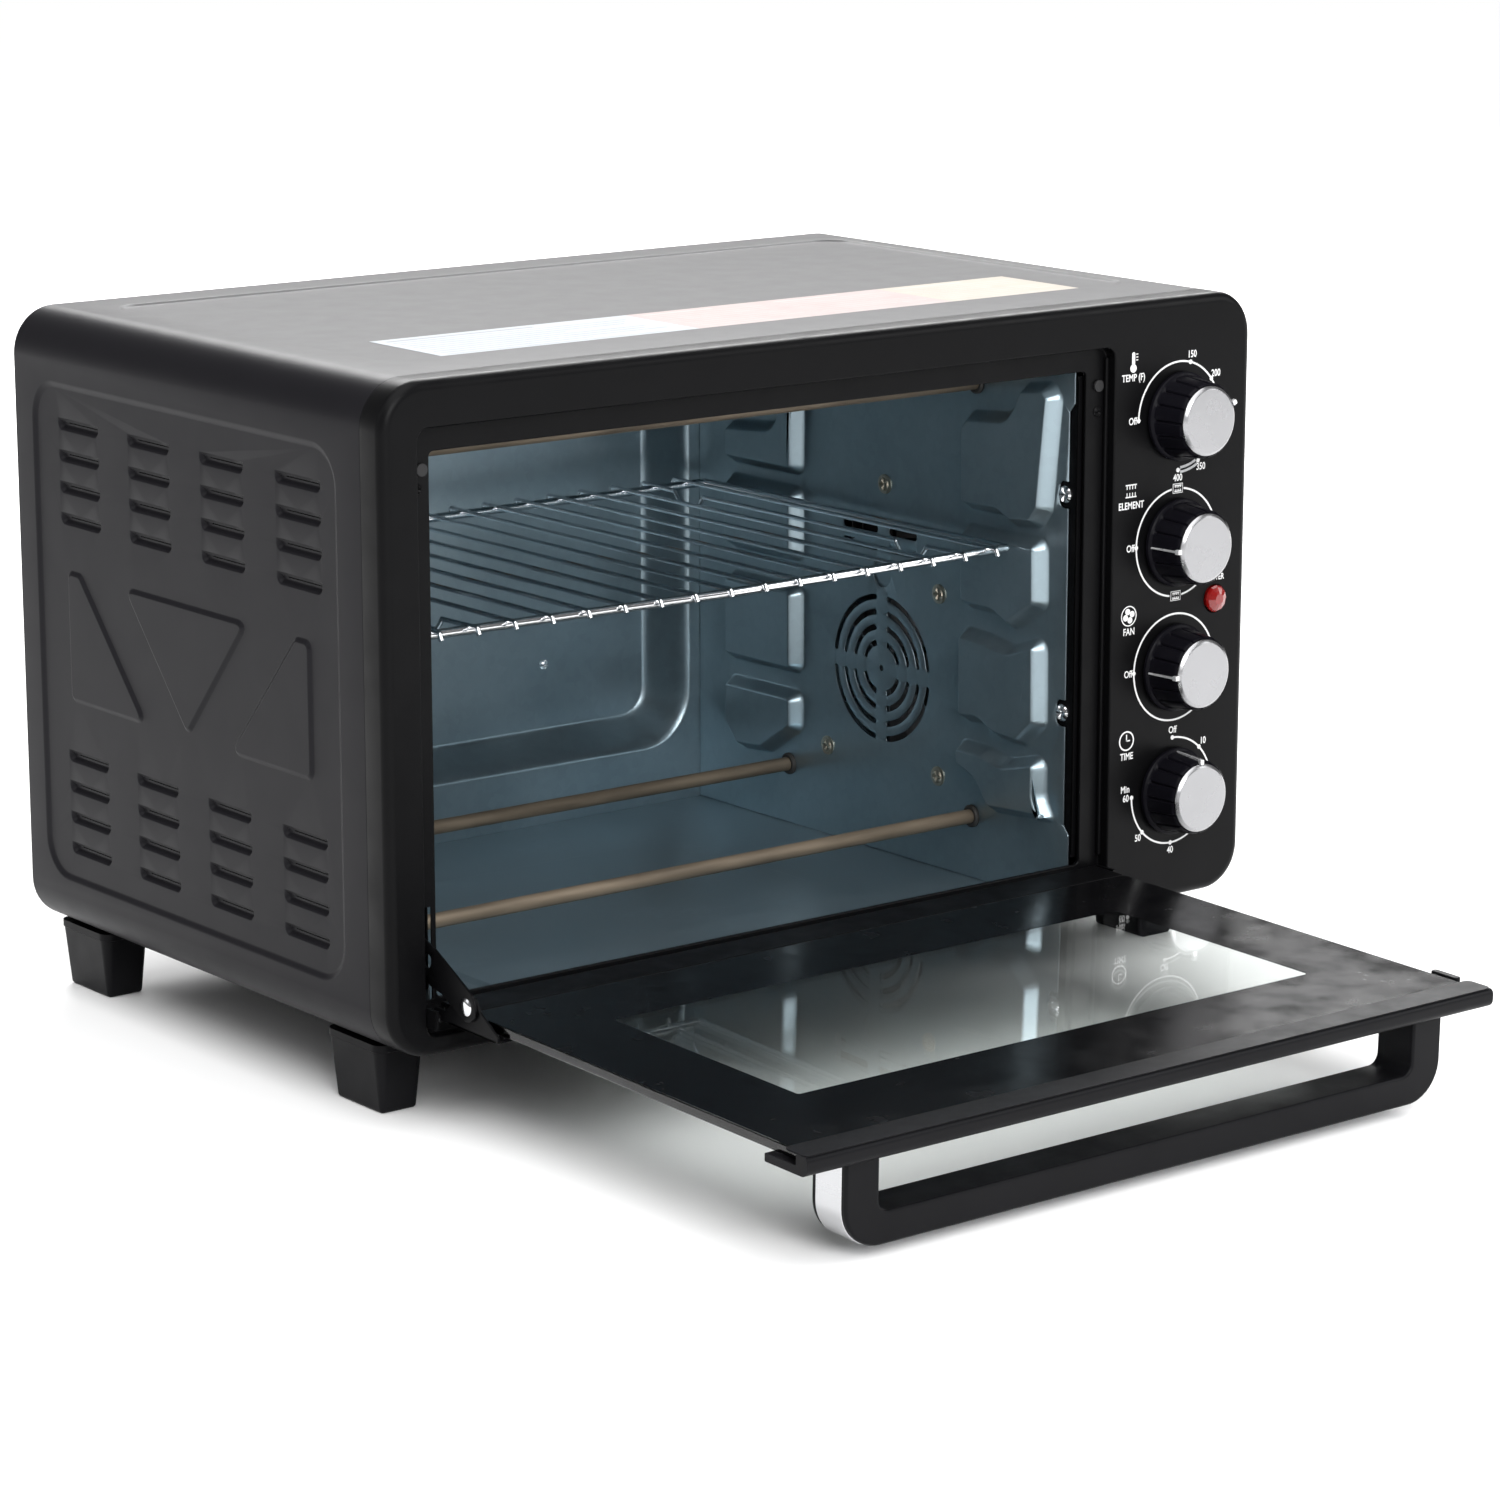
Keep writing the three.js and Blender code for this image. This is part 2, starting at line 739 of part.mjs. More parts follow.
// Blanking cap over the unused drive hole.
place(
  "drive_hole_cap",
  rodAlongX(
    linerRight + gap, linerRight + gap + 2, fanY, driveHoleZ, driveHoleRadius + 4, 16,
  ),
  zincSteel,
);

// Controls behind the panel; each takes the stem of its knob.
const controlFront = frameFace + frameWall + gap;
const stemEnd = frameFace - knobStandoff + knobStemLength;
const controls = [
  ["thermostat", 17, 20, 26],
  ["element_switch", 18, 18, 24],
  ["fan_switch", 15, 15, 20],
  ["timer", 26, 26, 40],
];
controls.forEach(([name, halfX, halfZ, length], i) => {
  const z = knobHeights[i];
  const radius = name === "timer" ? halfX * 0.8 : 3;
  const housing = alongY(
    roundRect(knobX - halfX, z - halfZ, knobX + halfX, z + halfZ, radius),
    controlFront,
    controlFront + length,
  );
  const bore = rodAlongY(
    controlFront - 1, stemEnd + 1, knobX, z, knobStemRadius + gap, 10,
  );
  place(name, housing.subtract(bore), i === 0 ? whiteCeramic : castAlloy);
});

// Knobs: fluted tapering body with a stem, and a bright spun cap let into its end.
const knobNames = ["temperature", "element", "fan", "timer"];
const knobBack = frameFace - knobStandoff;
const knobFront = knobBack - knobLength;
function flutedBody() {
  const profile = [
    [0, -knobLength],
    [knobEndRadius - 1, -knobLength],
    [knobEndRadius, -knobLength + 1],
    [knobBaseRadius - 1.6, -3],
    [knobBaseRadius, -2.4],
    [knobBaseRadius, 0],
    [0, 0],
  ];
  const geometry = turned(profile, 2 * knobFlutes);
  const at = geometry.attributes.position;
  for (let i = 0; i < at.count; i++) {
    const x = at.getX(i);
    const z = at.getZ(i);
    const radius = Math.hypot(x, z);
    const onSide = radius > knobEndRadius - 0.5 && at.getY(i) < -2.9;
    const step = Math.round(Math.atan2(x, z) / (Math.PI / knobFlutes));
    if (onSide && Math.abs(step) % 2 === 1) {
      const scale = (radius - knobFluteDepth) / radius;
      at.setX(i, x * scale);
      at.setZ(i, z * scale);
    }
  }
  return geometry;
}
knobHeights.forEach((z, i) => {
  const knob = new THREE.Group();
  knob.position.set(knobX, knobBack, z);
  root.add(knob);
  const seat = rodAlongY(-knobLength - 1, -knobLength + knobCapSeat, 0, 0, knobCapRadius + gap, 18);
  const stem = rodAlongY(-1, knobStemLength, 0, 0, knobStemRadius, 8);
  place(
    "knob_" + knobNames[i],
    join(solid(flutedBody()).subtract(seat), stem),
    blackPlastic,
    knob,
  );
  const capTop = -knobLength + knobCapSeat - gap;
  const cap = turnedY(
    [
      [0, capTop - knobCapHeight + 1.2],
      [knobCapRadius - 2.4, capTop - knobCapHeight],
      [knobCapRadius - 0.8, capTop - knobCapHeight],
      [knobCapRadius, capTop - knobCapHeight + 0.8],
      [knobCapRadius, capTop],
      [0, capTop],
    ],
    0, 0, 18,
  );
  place("knob_cap_" + knobNames[i], cap, brushedSteel, knob);
});

// Pilot lamp: lens in the panel, holder behind it.
place(
  "indicator_lens",
  turnedY(
    [
      [0, frameFace - 1.8],
      [lampRadius - 2, frameFace - 1.4],
      [lampRadius, frameFace - 0.4],
      [lampRadius, frameFace + frameWall],
      [0, frameFace + frameWall],
    ],
    lampX, lampZ, 14,
  ),
  redLens,
);
place(
  "indicator_holder",
  rodAlongY(
    frameFace + frameWall + gap, frameFace + frameWall + gap + lampDepth, lampX, lampZ,
    lampRadius + 1, 16,
  ),
  blackPlastic,
);

// Door bumpers on the recess face.
const bumperTop = recessTop - bumperDrop;
for (const [name, x] of [["left", recessLeft + bumperSet], ["right", recessRight - bumperSet]]) {
  place(
    "door_bumper_" + name,
    rodAlongY(
      recessFace - gap - bumperHeight, recessFace - gap, x, bumperTop, bumperRadius, 14,
    ),
    darkRubber,
  );
}

// Feet: tapered blocks under the four corners.
function foot() {
  const [topX, topY] = footTop;
  const geometry = extruded(
    roundRect(-topX / 2, -topY / 2, topX / 2, topY / 2, 5), footHeight, 4,
  );
  const at = geometry.attributes.position;
  for (let i = 0; i < at.count; i++) {
    if (at.getZ(i) < footHeight / 2) {
      at.setX(i, at.getX(i) * footBottom[0] / topX);
      at.setY(i, at.getY(i) * footBottom[1] / topY);
    }
  }
  return geometry;
}
for (const [side, x] of [["left", -half + footSetX], ["right", half - footSetX]]) {
  for (const [end, y] of [["front", footFrontY], ["rear", shellDepth - footRearSet]]) {
    place("foot_" + end + "_" + side, solid(foot().translate(x, y, 0)), blackPlastic);
  }
}

// Supply side: gland in the rear panel, terminal block and thermal cut-out inside.
place(
  "cord_gland",
  turnedY(
    [
      [glandBore, cavityBack - 6],
      [glandRadius, cavityBack - 6],
      [glandRadius, cavityBack + sheet + gap],
      [glandRadius + 3, cavityBack + sheet + gap],
      [glandRadius + 2, cavityBack + 9],
      [glandBore, cavityBack + 9],
      [glandBore, cavityBack - 6],
    ],
    glandX, glandZ, 20,
  ),
  darkRubber,
);
const blockZ = bodyBottom + sheet + gap;
place(
  "terminal_block",
  box(glandX - 20, glandX + 8, cavityBack - 52, cavityBack - 30, blockZ, blockZ + 18),
  whiteCeramic,
);
place(
  "thermal_cutout",
  rodAlongZ(openingTop + sheet + gap, openingTop + sheet + gap + 9, wallRight / 2, fanY, 8, 16),
  whiteCeramic,
);

// ---- hinge and door -----------------------------------------------------
// Fixed hinge brackets: a foot on the recess face, an ear and its pin.
for (const [name, wallX, inward] of [["left", recessLeft, 1], ["right", recessRight, -1]]) {
  const at = (distance) => wallX + inward * distance;
  const span = (a, b) => [Math.min(at(a), at(b)), Math.max(at(a), at(b))];
  const [ear0, ear1] = span(1, 1 + earThickness);
  const [foot0, foot1] = span(1, 7.4);
  const [pin0, pin1] = span(1 + earThickness / 2, armInset + armThickness + 1);
  const backFace = recessFace - gap;
  const ear = box(ear0, ear1, hingeY - 4, backFace, hingeZ - 4, hingeZ + 4);
  const footPlate = box(foot0, foot1, backFace - sheet, backFace, hingeZ - 6, hingeZ + 4);
  const pin = rodAlongX(pin0, pin1, hingeY, hingeZ, pinRadius, 12);
  place("hinge_bracket_" + name, join(ear, footPlate, pin), blackPaint);
}

// The door is modelled shut: local Y leads away from the hinge axis towards the cavity,
// local Z runs up the door. The group then swings it open.
const door = new THREE.Group();
door.position.set(0, hingeY, hingeZ);
door.rotation.x = openAngle;
door.name = "door";
root.add(door);

const glassLeft = recessLeft + glassSideGap;
const glassRight = recessRight - glassSideGap;
const glassBack = glassFace - glassThickness;
place(
  "door_glass",
  alongY(roundRect(glassLeft, glassLow, glassRight, glassHigh, 3), glassBack, glassFace, 3),
  smokedGlass,
  door,
);

// Lower rail: a folded channel that carries the bottom edge of the glass.
const railBottom = glassBack - gap - sheet;
const railOuter = rect(railLow, railBottom, glassLow - gap, glassFace);
const railInner = rect(
  railLow + railSheet, railBottom - 1, glassLow - gap - railSheet, glassFace - railSheet,
);
// Outline pairs in this rail are distance up the door and distance from the axis.
function doorSection(shape, x0, x1) {
  const turn = new THREE.Matrix4().makeBasis(
    new THREE.Vector3(0, 0, 1),
    new THREE.Vector3(0, 1, 0),
    new THREE.Vector3(-1, 0, 0),
  );
  return solid(extruded(shape, x1 - x0, 5).applyMatrix4(turn).translate(x1, 0, 0));
}
const rail = join(
  cut(
    doorSection(railOuter, glassLeft, glassRight),
    doorSection(railInner, glassLeft + railSheet, glassRight - railSheet),
  ),
  doorSection(
    rect(glassLow - gap - railSheet, railBottom, glassLow + railLap, railBottom + sheet),
    glassLeft, glassRight,
  ),
);
place("door_lower_rail", rail, blackPaint, door);

// Hinge arms: an ear on each pin and a leaf under the lower rail.
for (const [name, edge, wallX, inward] of [
  ["left", glassLeft, recessLeft, 1],
  ["right", glassRight, recessRight, -1],
]) {
  const ear0 = wallX + inward * armInset;
  const ear1 = ear0 + inward * armThickness;
  const leafEnd = edge + inward * armLeaf;
  const leafTop = railBottom - gap;
  const ears = new THREE.Shape();
  ears.moveTo(-4, leafTop - sheet);
  ears.lineTo(glassLow + railLap, leafTop - sheet);
  ears.lineTo(glassLow + railLap, glassBack);
  ears.lineTo(rivetAlong + 7, name === "left" ? rivetAway - 1 : glassBack);
  ears.lineTo(rivetAlong + 4, name === "left" ? rivetAway + 4.2 : glassBack);
  ears.lineTo(rivetAlong - 4, name === "left" ? rivetAway + 4.2 : glassBack);
  ears.lineTo(4, 4);
  ears.lineTo(-4, 4);
  ears.closePath();
  const cuts = [rodAlongX(ear0 - 3, ear0 + 3, 0, 0, pinRadius + gap, 12)];
  if (name === "left") {
    cuts.push(rodAlongX(ear0 - 3, ear0 + 3, rivetAway, rivetAlong, rivetRadius + gap, 12));
  }
  const plate = doorSection(ears, Math.min(ear0, ear1), Math.max(ear0, ear1));
  const leaf = box(
    Math.min(ear0, leafEnd), Math.max(ear0, leafEnd), leafTop - sheet, leafTop,
    6, glassLow + railLap,
  );
  place("hinge_arm_" + name, cut(join(plate, leaf), ...cuts), blackPaint, door);
}

// Top trim: a moulded rail with a rounded nose that caps the upper edge of the glass.
const trimLeft = recessLeft + trimSideGap;
const trimRight = recessRight - trimSideGap;
const trimFace = glassFace;
const trimBack = trimFace - trimThickness;
const trimOutline = new THREE.Shape();
trimOutline.moveTo(trimLow, trimBack);
trimOutline.lineTo(trimHigh - 5, trimBack);
trimOutline.quadraticCurveTo(trimHigh, trimBack, trimHigh, trimFace - 3);
trimOutline.quadraticCurveTo(trimHigh, trimFace, trimHigh - 3, trimFace);
trimOutline.lineTo(glassHigh + 2 * gap, trimFace);
trimOutline.lineTo(glassHigh + gap, glassBack);
trimOutline.lineTo(trimLow, glassBack - gap);
trimOutline.closePath();
const trimSlot = box(
  glassLeft - gap, glassRight + gap, glassBack - gap, glassFace + 1, trimLow - 1, glassHigh + gap,
);
place(
  "door_top_trim",
  doorSection(trimOutline, trimLeft, trimRight).subtract(trimSlot),
  blackPlastic,
  door,
);

// Handle: a squared U across the door front.
const doorMiddle = (recessLeft + recessRight) / 2;
const handleLeft = doorMiddle - handleWidth / 2;
const handleRight = doorMiddle + handleWidth / 2;
const handleLow = handleHigh - handleDepth;
const gripFar = -handleReach;
function bow(inset, endY) {
  const shape = new THREE.Shape();
  const r = handleRadius - inset;
  const left = handleLeft + inset;
  const right = handleRight - inset;
  const far = gripFar + inset;
  shape.moveTo(left, endY);
  shape.lineTo(left, far + r);
  shape.absarc(left + r, far + r, r, Math.PI, 1.5 * Math.PI);
  shape.absarc(right - r, far + r, r, 1.5 * Math.PI, 2 * Math.PI);
  shape.lineTo(right, endY);
  shape.closePath();
  return shape;
}
const handleEnd = trimBack - gap;
const bowOuter = alongZ(bow(0, handleEnd), handleLow, handleHigh, 6);
const bowInner = alongZ(
  roundRect(
    handleLeft + postThickness, gripFar + gripThickness, handleRight - postThickness,
    handleEnd + 20, handleInnerRadius,
  ),
  handleLow - 1,
  handleHigh + 1,
);
const stripSide = (handleDepth - stripWidth) / 2;
const channelDepth = stripThickness + gap;
const stripChannel = alongZ(
  bow(-1, handleEnd + 1), handleLow + stripSide - gap, handleHigh - stripSide + gap, 6,
).subtract(alongZ(bow(channelDepth, handleEnd + 2), handleLow - 1, handleHigh + 1, 6));
place("door_handle", cut(bowOuter, bowInner, stripChannel), blackPlastic, door);
const strip = alongZ(bow(0, handleEnd), handleLow + stripSide, handleHigh - stripSide, 6).subtract(
  alongZ(bow(stripThickness, handleEnd + 1), handleLow - 1, handleHigh + 1, 6),
);
place("handle_strip", strip, brushedSteel, door);

// Check link: one end on a rivet in the left arm, the other through the frame slot.
const armLeftNear = recessLeft + armInset;
const linkFar = armLeftNear - gap - linkThickness;
const headFar = linkFar - gap - rivetHead;
const rivetProfile = [
  [0, headFar],
  [rivetHeadRadius - 1, headFar],
  [rivetHeadRadius, headFar + rivetHead / 2],
  [rivetHeadRadius, linkFar - gap],
  [rivetRadius, linkFar - gap],
  [rivetRadius, armLeftNear + armThickness + gap],
  [0, armLeftNear + armThickness + gap],
];
place("link_rivet", turnedX(rivetProfile, rivetAway, rivetAlong, 12), chromeWire, door);

const link = new THREE.Group();
link.position.set(0, rivetAway, rivetAlong);
link.rotation.x = linkAngle - openAngle;
link.name = "link";
door.add(link);
const linkShape = new THREE.Shape();
linkShape.absarc(0, 0, linkHalfWidth, Math.PI / 2, 1.5 * Math.PI);
linkShape.lineTo(16, -linkHalfWidth);
linkShape.lineTo(24, -linkHalfWidth - 2);
linkShape.lineTo(linkLength - 4, -linkHalfWidth - 2);
linkShape.lineTo(linkLength, -linkHalfWidth + 2);
linkShape.lineTo(linkLength, linkHalfWidth - 1);
linkShape.lineTo(28, linkHalfWidth + 1);
linkShape.closePath();
const linkBody = cut(
  alongX(linkShape, linkFar, linkFar + linkThickness),
  alongX(disc(0, 0, rivetRadius + gap), linkFar - 1, linkFar + 2, 4),
  alongX(roundRect(27.5, -3.5, 33, 3, 2.6), linkFar - 1, linkFar + 2, 3),
);
place("door_check_link", linkBody, blackPaint, link);

// The origin sits under the middle of the outline with the door open.
const bounds = new THREE.Box3().setFromObject(root);
root.position.y = -Math.round(5 * (bounds.min.y + bounds.max.y)) / 10;

export default root;
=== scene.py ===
"""Looks of a countertop toaster oven with a drop-down glass door.

Sizes are millimetres on the part's own axes: X to the right, Y to the back, Z up.
Every mesh is made in millimetres and scaled to metres as it is finished.
"""
import json
import logging
import math
from dataclasses import dataclass, field
from enum import Enum
from typing import Iterable, Optional, Sequence

import bmesh
import bpy
from mathutils import Matrix, Vector
from mathutils.geometry import delaunay_2d_cdt


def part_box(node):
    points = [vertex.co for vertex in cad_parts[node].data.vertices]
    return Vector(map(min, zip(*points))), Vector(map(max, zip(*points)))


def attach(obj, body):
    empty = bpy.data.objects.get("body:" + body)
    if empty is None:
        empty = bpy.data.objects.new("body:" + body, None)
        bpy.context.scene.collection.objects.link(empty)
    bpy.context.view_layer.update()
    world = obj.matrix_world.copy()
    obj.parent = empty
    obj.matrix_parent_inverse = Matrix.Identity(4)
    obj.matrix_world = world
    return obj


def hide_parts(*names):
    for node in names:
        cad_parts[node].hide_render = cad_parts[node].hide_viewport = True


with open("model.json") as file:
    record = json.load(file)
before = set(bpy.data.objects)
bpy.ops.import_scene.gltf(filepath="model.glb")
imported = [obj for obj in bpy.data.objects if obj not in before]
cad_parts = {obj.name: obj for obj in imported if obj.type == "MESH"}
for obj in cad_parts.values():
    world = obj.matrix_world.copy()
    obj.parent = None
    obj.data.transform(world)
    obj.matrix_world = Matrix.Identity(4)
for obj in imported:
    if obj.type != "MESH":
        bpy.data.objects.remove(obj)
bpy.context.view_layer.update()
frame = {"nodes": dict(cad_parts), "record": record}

LOG = logging.getLogger("toaster_oven")
MM = 0.001
WELD = 1e-4
INSIDE = 1  # triangulation of everything inside the outermost outline
PANEL = 32.4  # how far the control panel's face lies in front of the origin
Point = tuple[float, float]
Step = tuple[float, float]
Colour = tuple[float, float, float]


# ---- places -----------------------------------------------------------------
@dataclass(frozen=True)
class Box:
    """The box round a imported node, in millimetres."""

    x0: float
    x1: float
    y0: float
    y1: float
    z0: float
    z1: float

    @classmethod
    def of(cls, node: str) -> "Box":
        """Box of the named node at rest."""
        low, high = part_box(node)
        return cls(*(value / MM for pair in zip(low, high) for value in pair))

    @property
    def middle(self) -> Vector:
        """Centre of the box."""
        return Vector((self.x0 + self.x1, self.y0 + self.y1, self.z0 + self.z1)) / 2


@dataclass(frozen=True)
class Plane:
    """Axes that carry a flat drawing into the oven: two along the sheet, one out of it."""

    p: tuple[float, float, float]
    q: tuple[float, float, float]
    out: tuple[float, float, float]
    origin: tuple[float, float, float] = (0.0, 0.0, 0.0)

    def matrix(self) -> Matrix:
        """Drawing axes to the part's axes."""
        turn = Matrix((self.p, self.q, self.out)).transposed().to_4x4()
        return Matrix.Translation(self.origin) @ turn


TOP = Plane((1, 0, 0), (0, 1, 0), (0, 0, 1))
BOTTOM = Plane((1, 0, 0), (0, 1, 0), (0, 0, -1))
FRONT = Plane((1, 0, 0), (0, 0, 1), (0, -1, 0))
LEFT = Plane((0, 1, 0), (0, 0, 1), (-1, 0, 0))
RIGHT = Plane((0, 1, 0), (0, 0, 1), (1, 0, 0))


def rectangle(p0: float, p1: float, q0: float, q1: float) -> list[Point]:
    """Corners of a rectangle, in order."""
    return [(p0, q0), (p1, q0), (p1, q1), (p0, q1)]


def fillet(radius: float, steps: int, fall: float = -1.0) -> list[Step]:
    """Inset and depth steps of a quarter round that starts flat and ends upright.

    Args:
        radius: radius of the round.
        steps: facets of the quarter.
        fall: -1 to sink into the sheet, 1 to rise from it.

    Returns:
        One (inset, depth) pair per facet.
    """
    turns = [math.pi / 2 * i / steps for i in range(steps + 1)]
    return [
        (radius * (math.sin(b) - math.sin(a)), fall * radius * (math.cos(a) - math.cos(b)))
        for a, b in zip(turns, turns[1:])
    ]


def linked(name: str, data: bpy.types.ID) -> bpy.types.Object:
    """A new object in the scene."""
    made = bpy.data.objects.new(name, data)
    bpy.context.scene.collection.objects.link(made)
    return made


def face_out(face: bmesh.types.BMFace) -> bmesh.types.BMFace:
    """Makes a flat face look out of its drawing."""
    face.normal_update()
    if face.normal.z < 0:
        face.normal_flip()
    return face


def lathe(profile: Sequence[Point], steps: int) -> bmesh.types.BMesh:
    """A profile of (radius, distance) pairs spun once round Z."""
    part = bmesh.new()
    verts = [part.verts.new((radius, 0.0, along)) for radius, along in profile]
    edges = [part.edges.new(pair) for pair in zip(verts, verts[1:])]
    bmesh.ops.spin(
        part, geom=verts + edges, cent=(0, 0, 0), axis=(0, 0, 1), dvec=(0, 0, 0),
        angle=2 * math.pi, steps=steps, use_merge=True, use_duplicate=False,
    )
    bmesh.ops.remove_doubles(part, verts=part.verts[:], dist=WELD)
    return part


def upright(axis: Sequence[float]) -> Matrix:
    """The turn that brings Z onto an axis."""
    return Vector((0, 0, 1)).rotation_difference(Vector(axis)).to_matrix().to_4x4()


def bend_path(points: Sequence[Sequence[float]], radius: float, steps: int = 6) -> list[Vector]:
    """A path through points with each inner corner rounded."""
    places = [Vector(point) for point in points]
    path = [places[0]]
    for before, corner, after in zip(places, places[1:], places[2:]):
        into = (before - corner).normalized()
        away = (after - corner).normalized()
        half = into.angle(away) / 2
        reach = min(radius / math.tan(half), (before - corner).length / 2, (after - corner).length / 2)
        centre = corner + (into + away).normalized() * (reach / math.cos(half))
        first, last = corner + into * reach - centre, corner + away * reach - centre
        path += [centre + first.slerp(last, i / steps) for i in range(steps + 1)]
    return path + [places[-1]]


# ---- finishes ---------------------------------------------------------------
@dataclass(frozen=True)
class Finish:
    """A surface: its shader values and the grain that varies them.

    The grain is noise on object coordinates. Frequencies are per metre.
    """

    name: str
    colour: Colour
    roughness: float
    metallic: float = 0.0
    specular: float = 0.5
    coat: float = 0.0
    transmission: float = 0.0
    grain: float = 1200.0
    bump: float = 0.05
    stretch: tuple[float, float, float] = (1.0, 1.0, 1.0)
    mottle: float = 0.08
    mottle_size: float = 30.0
    swing: float = 0.06
    ior: float = 1.5

    def material(self) -> bpy.types.Material:
        """The material, made once and shared."""
        title = "look_" + self.name
        made = bpy.data.materials.get(title)
        if made is None:
            made = bpy.data.materials.new(title)
            made.use_nodes = True
            made.node_tree.nodes.clear()
            self.dress(made)
        return made

    def dress(self, made: bpy.types.Material) -> None:
        """Adds the shader and its grain."""
        tree = made.node_tree
        shader = tree.nodes.new("ShaderNodeBsdfPrincipled")
        out = tree.nodes.new("ShaderNodeOutputMaterial")
        tree.links.new(shader.outputs["BSDF"], out.inputs["Surface"])
        shader.inputs["Metallic"].default_value = self.metallic
        shader.inputs["Specular IOR Level"].default_value = self.specular
        shader.inputs["Coat Weight"].default_value = self.coat
        shader.inputs["Coat Roughness"].default_value = 0.05
        shader.inputs["Transmission Weight"].default_value = self.transmission
        shader.inputs["IOR"].default_value = self.ior
        self.tint(tree, shader)
        self.relief(tree, shader)

    def noise(self, tree: bpy.types.NodeTree, scale: float, stretched: bool = False) -> bpy.types.Node:
        """A noise texture on object coordinates."""
        place = tree.nodes.new("ShaderNodeTexCoord")
        spread = tree.nodes.new("ShaderNodeMapping")
        spread.inputs["Scale"].default_value = self.stretch if stretched else (1.0, 1.0, 1.0)
        tree.links.new(place.outputs["Object"], spread.inputs["Vector"])
        noise = tree.nodes.new("ShaderNodeTexNoise")
        noise.inputs["Scale"].default_value = scale
        noise.inputs["Detail"].default_value = 3.0
        tree.links.new(spread.outputs["Vector"], noise.inputs["Vector"])
        return noise

    def ranged(
        self, tree: bpy.types.NodeTree, source: bpy.types.NodeSocket, low: float, high: float,
    ) -> bpy.types.NodeSocket:
        """The middle of a 0 to 1 value spread over a range."""
        node = tree.nodes.new("ShaderNodeMapRange")
        node.inputs["From Min"].default_value = 0.3
        node.inputs["From Max"].default_value = 0.7
        node.inputs["To Min"].default_value = low
        node.inputs["To Max"].default_value = high
        tree.links.new(source, node.inputs["Value"])
        return node.outputs["Result"]

    def shade(
        self, tree: bpy.types.NodeTree, shader: bpy.types.Node, source: bpy.types.NodeSocket,
        low: float, high: float,
    ) -> None:
        """Base colour that goes from a little darker to a little lighter between two values."""
        ramp = tree.nodes.new("ShaderNodeValToRGB")
        ends = ((low, 1 - self.mottle), (high, 1 + self.mottle))
        for element, (place, share) in zip(ramp.color_ramp.elements, ends):
            element.color = (*(min(1.0, channel * share) for channel in self.colour), 1.0)
            element.position = place
        tree.links.new(source, ramp.inputs["Fac"])
        tree.links.new(ramp.outputs["Color"], shader.inputs["Base Color"])

    def tint(self, tree: bpy.types.NodeTree, shader: bpy.types.Node) -> None:
        """Colour and roughness that wander over the surface."""
        noise = self.noise(tree, self.mottle_size, stretched=True)
        self.shade(tree, shader, noise.outputs["Fac"], 0.3, 0.7)
        rough = self.noise(tree, self.mottle_size * 2.3, stretched=True)
        spread = self.ranged(
            tree, rough.outputs["Fac"],
            max(0.0, self.roughness - self.swing), min(1.0, self.roughness + self.swing),
        )
        tree.links.new(spread, shader.inputs["Roughness"])

    def relief(self, tree: bpy.types.NodeTree, shader: bpy.types.Node) -> None:
        """Fine bump."""
        if self.bump <= 0:
            return
        noise = self.noise(tree, self.grain, stretched=True)
        self.raise_grain(tree, shader, noise.outputs["Fac"])

    def raise_grain(
        self, tree: bpy.types.NodeTree, shader: bpy.types.Node, height: bpy.types.NodeSocket,
    ) -> None:
        """Turns a height into bump on the shader."""
        bump = tree.nodes.new("ShaderNodeBump")
        bump.inputs["Strength"].default_value = self.bump
        bump.inputs["Distance"].default_value = 0.1 * MM
        tree.links.new(height, bump.inputs["Height"])
        tree.links.new(bump.outputs["Normal"], shader.inputs["Normal"])


@dataclass(frozen=True)
class Spangle(Finish):
    """Zinc-coated sheet: soft crystal patches over fine rolling grain."""

    patch: float = 260.0

    def tint(self, tree: bpy.types.NodeTree, shader: bpy.types.Node) -> None:
        """Patches of slightly different grey and gloss."""
        place = tree.nodes.new("ShaderNodeTexCoord")
        cells = tree.nodes.new("ShaderNodeTexVoronoi")
        cells.inputs["Scale"].default_value = self.patch
        cells.inputs["Randomness"].default_value = 1.0
        tree.links.new(place.outputs["Object"], cells.inputs["Vector"])
        split = tree.nodes.new("ShaderNodeSeparateColor")
        tree.links.new(cells.outputs["Color"], split.inputs["Color"])
        cloud = self.noise(tree, self.mottle_size)
        mix = tree.nodes.new("ShaderNodeMath")
        mix.operation = "MULTIPLY_ADD"
        mix.inputs[1].default_value = 0.18
        tree.links.new(split.outputs["Red"], mix.inputs[0])
        tree.links.new(cloud.outputs["Fac"], mix.inputs[2])
        self.shade(tree, shader, mix.outputs["Value"], 0.35, 0.85)
        spread = self.ranged(
            tree, mix.outputs["Value"], self.roughness - self.swing, self.roughness + self.swing,
        )
        tree.links.new(spread, shader.inputs["Roughness"])


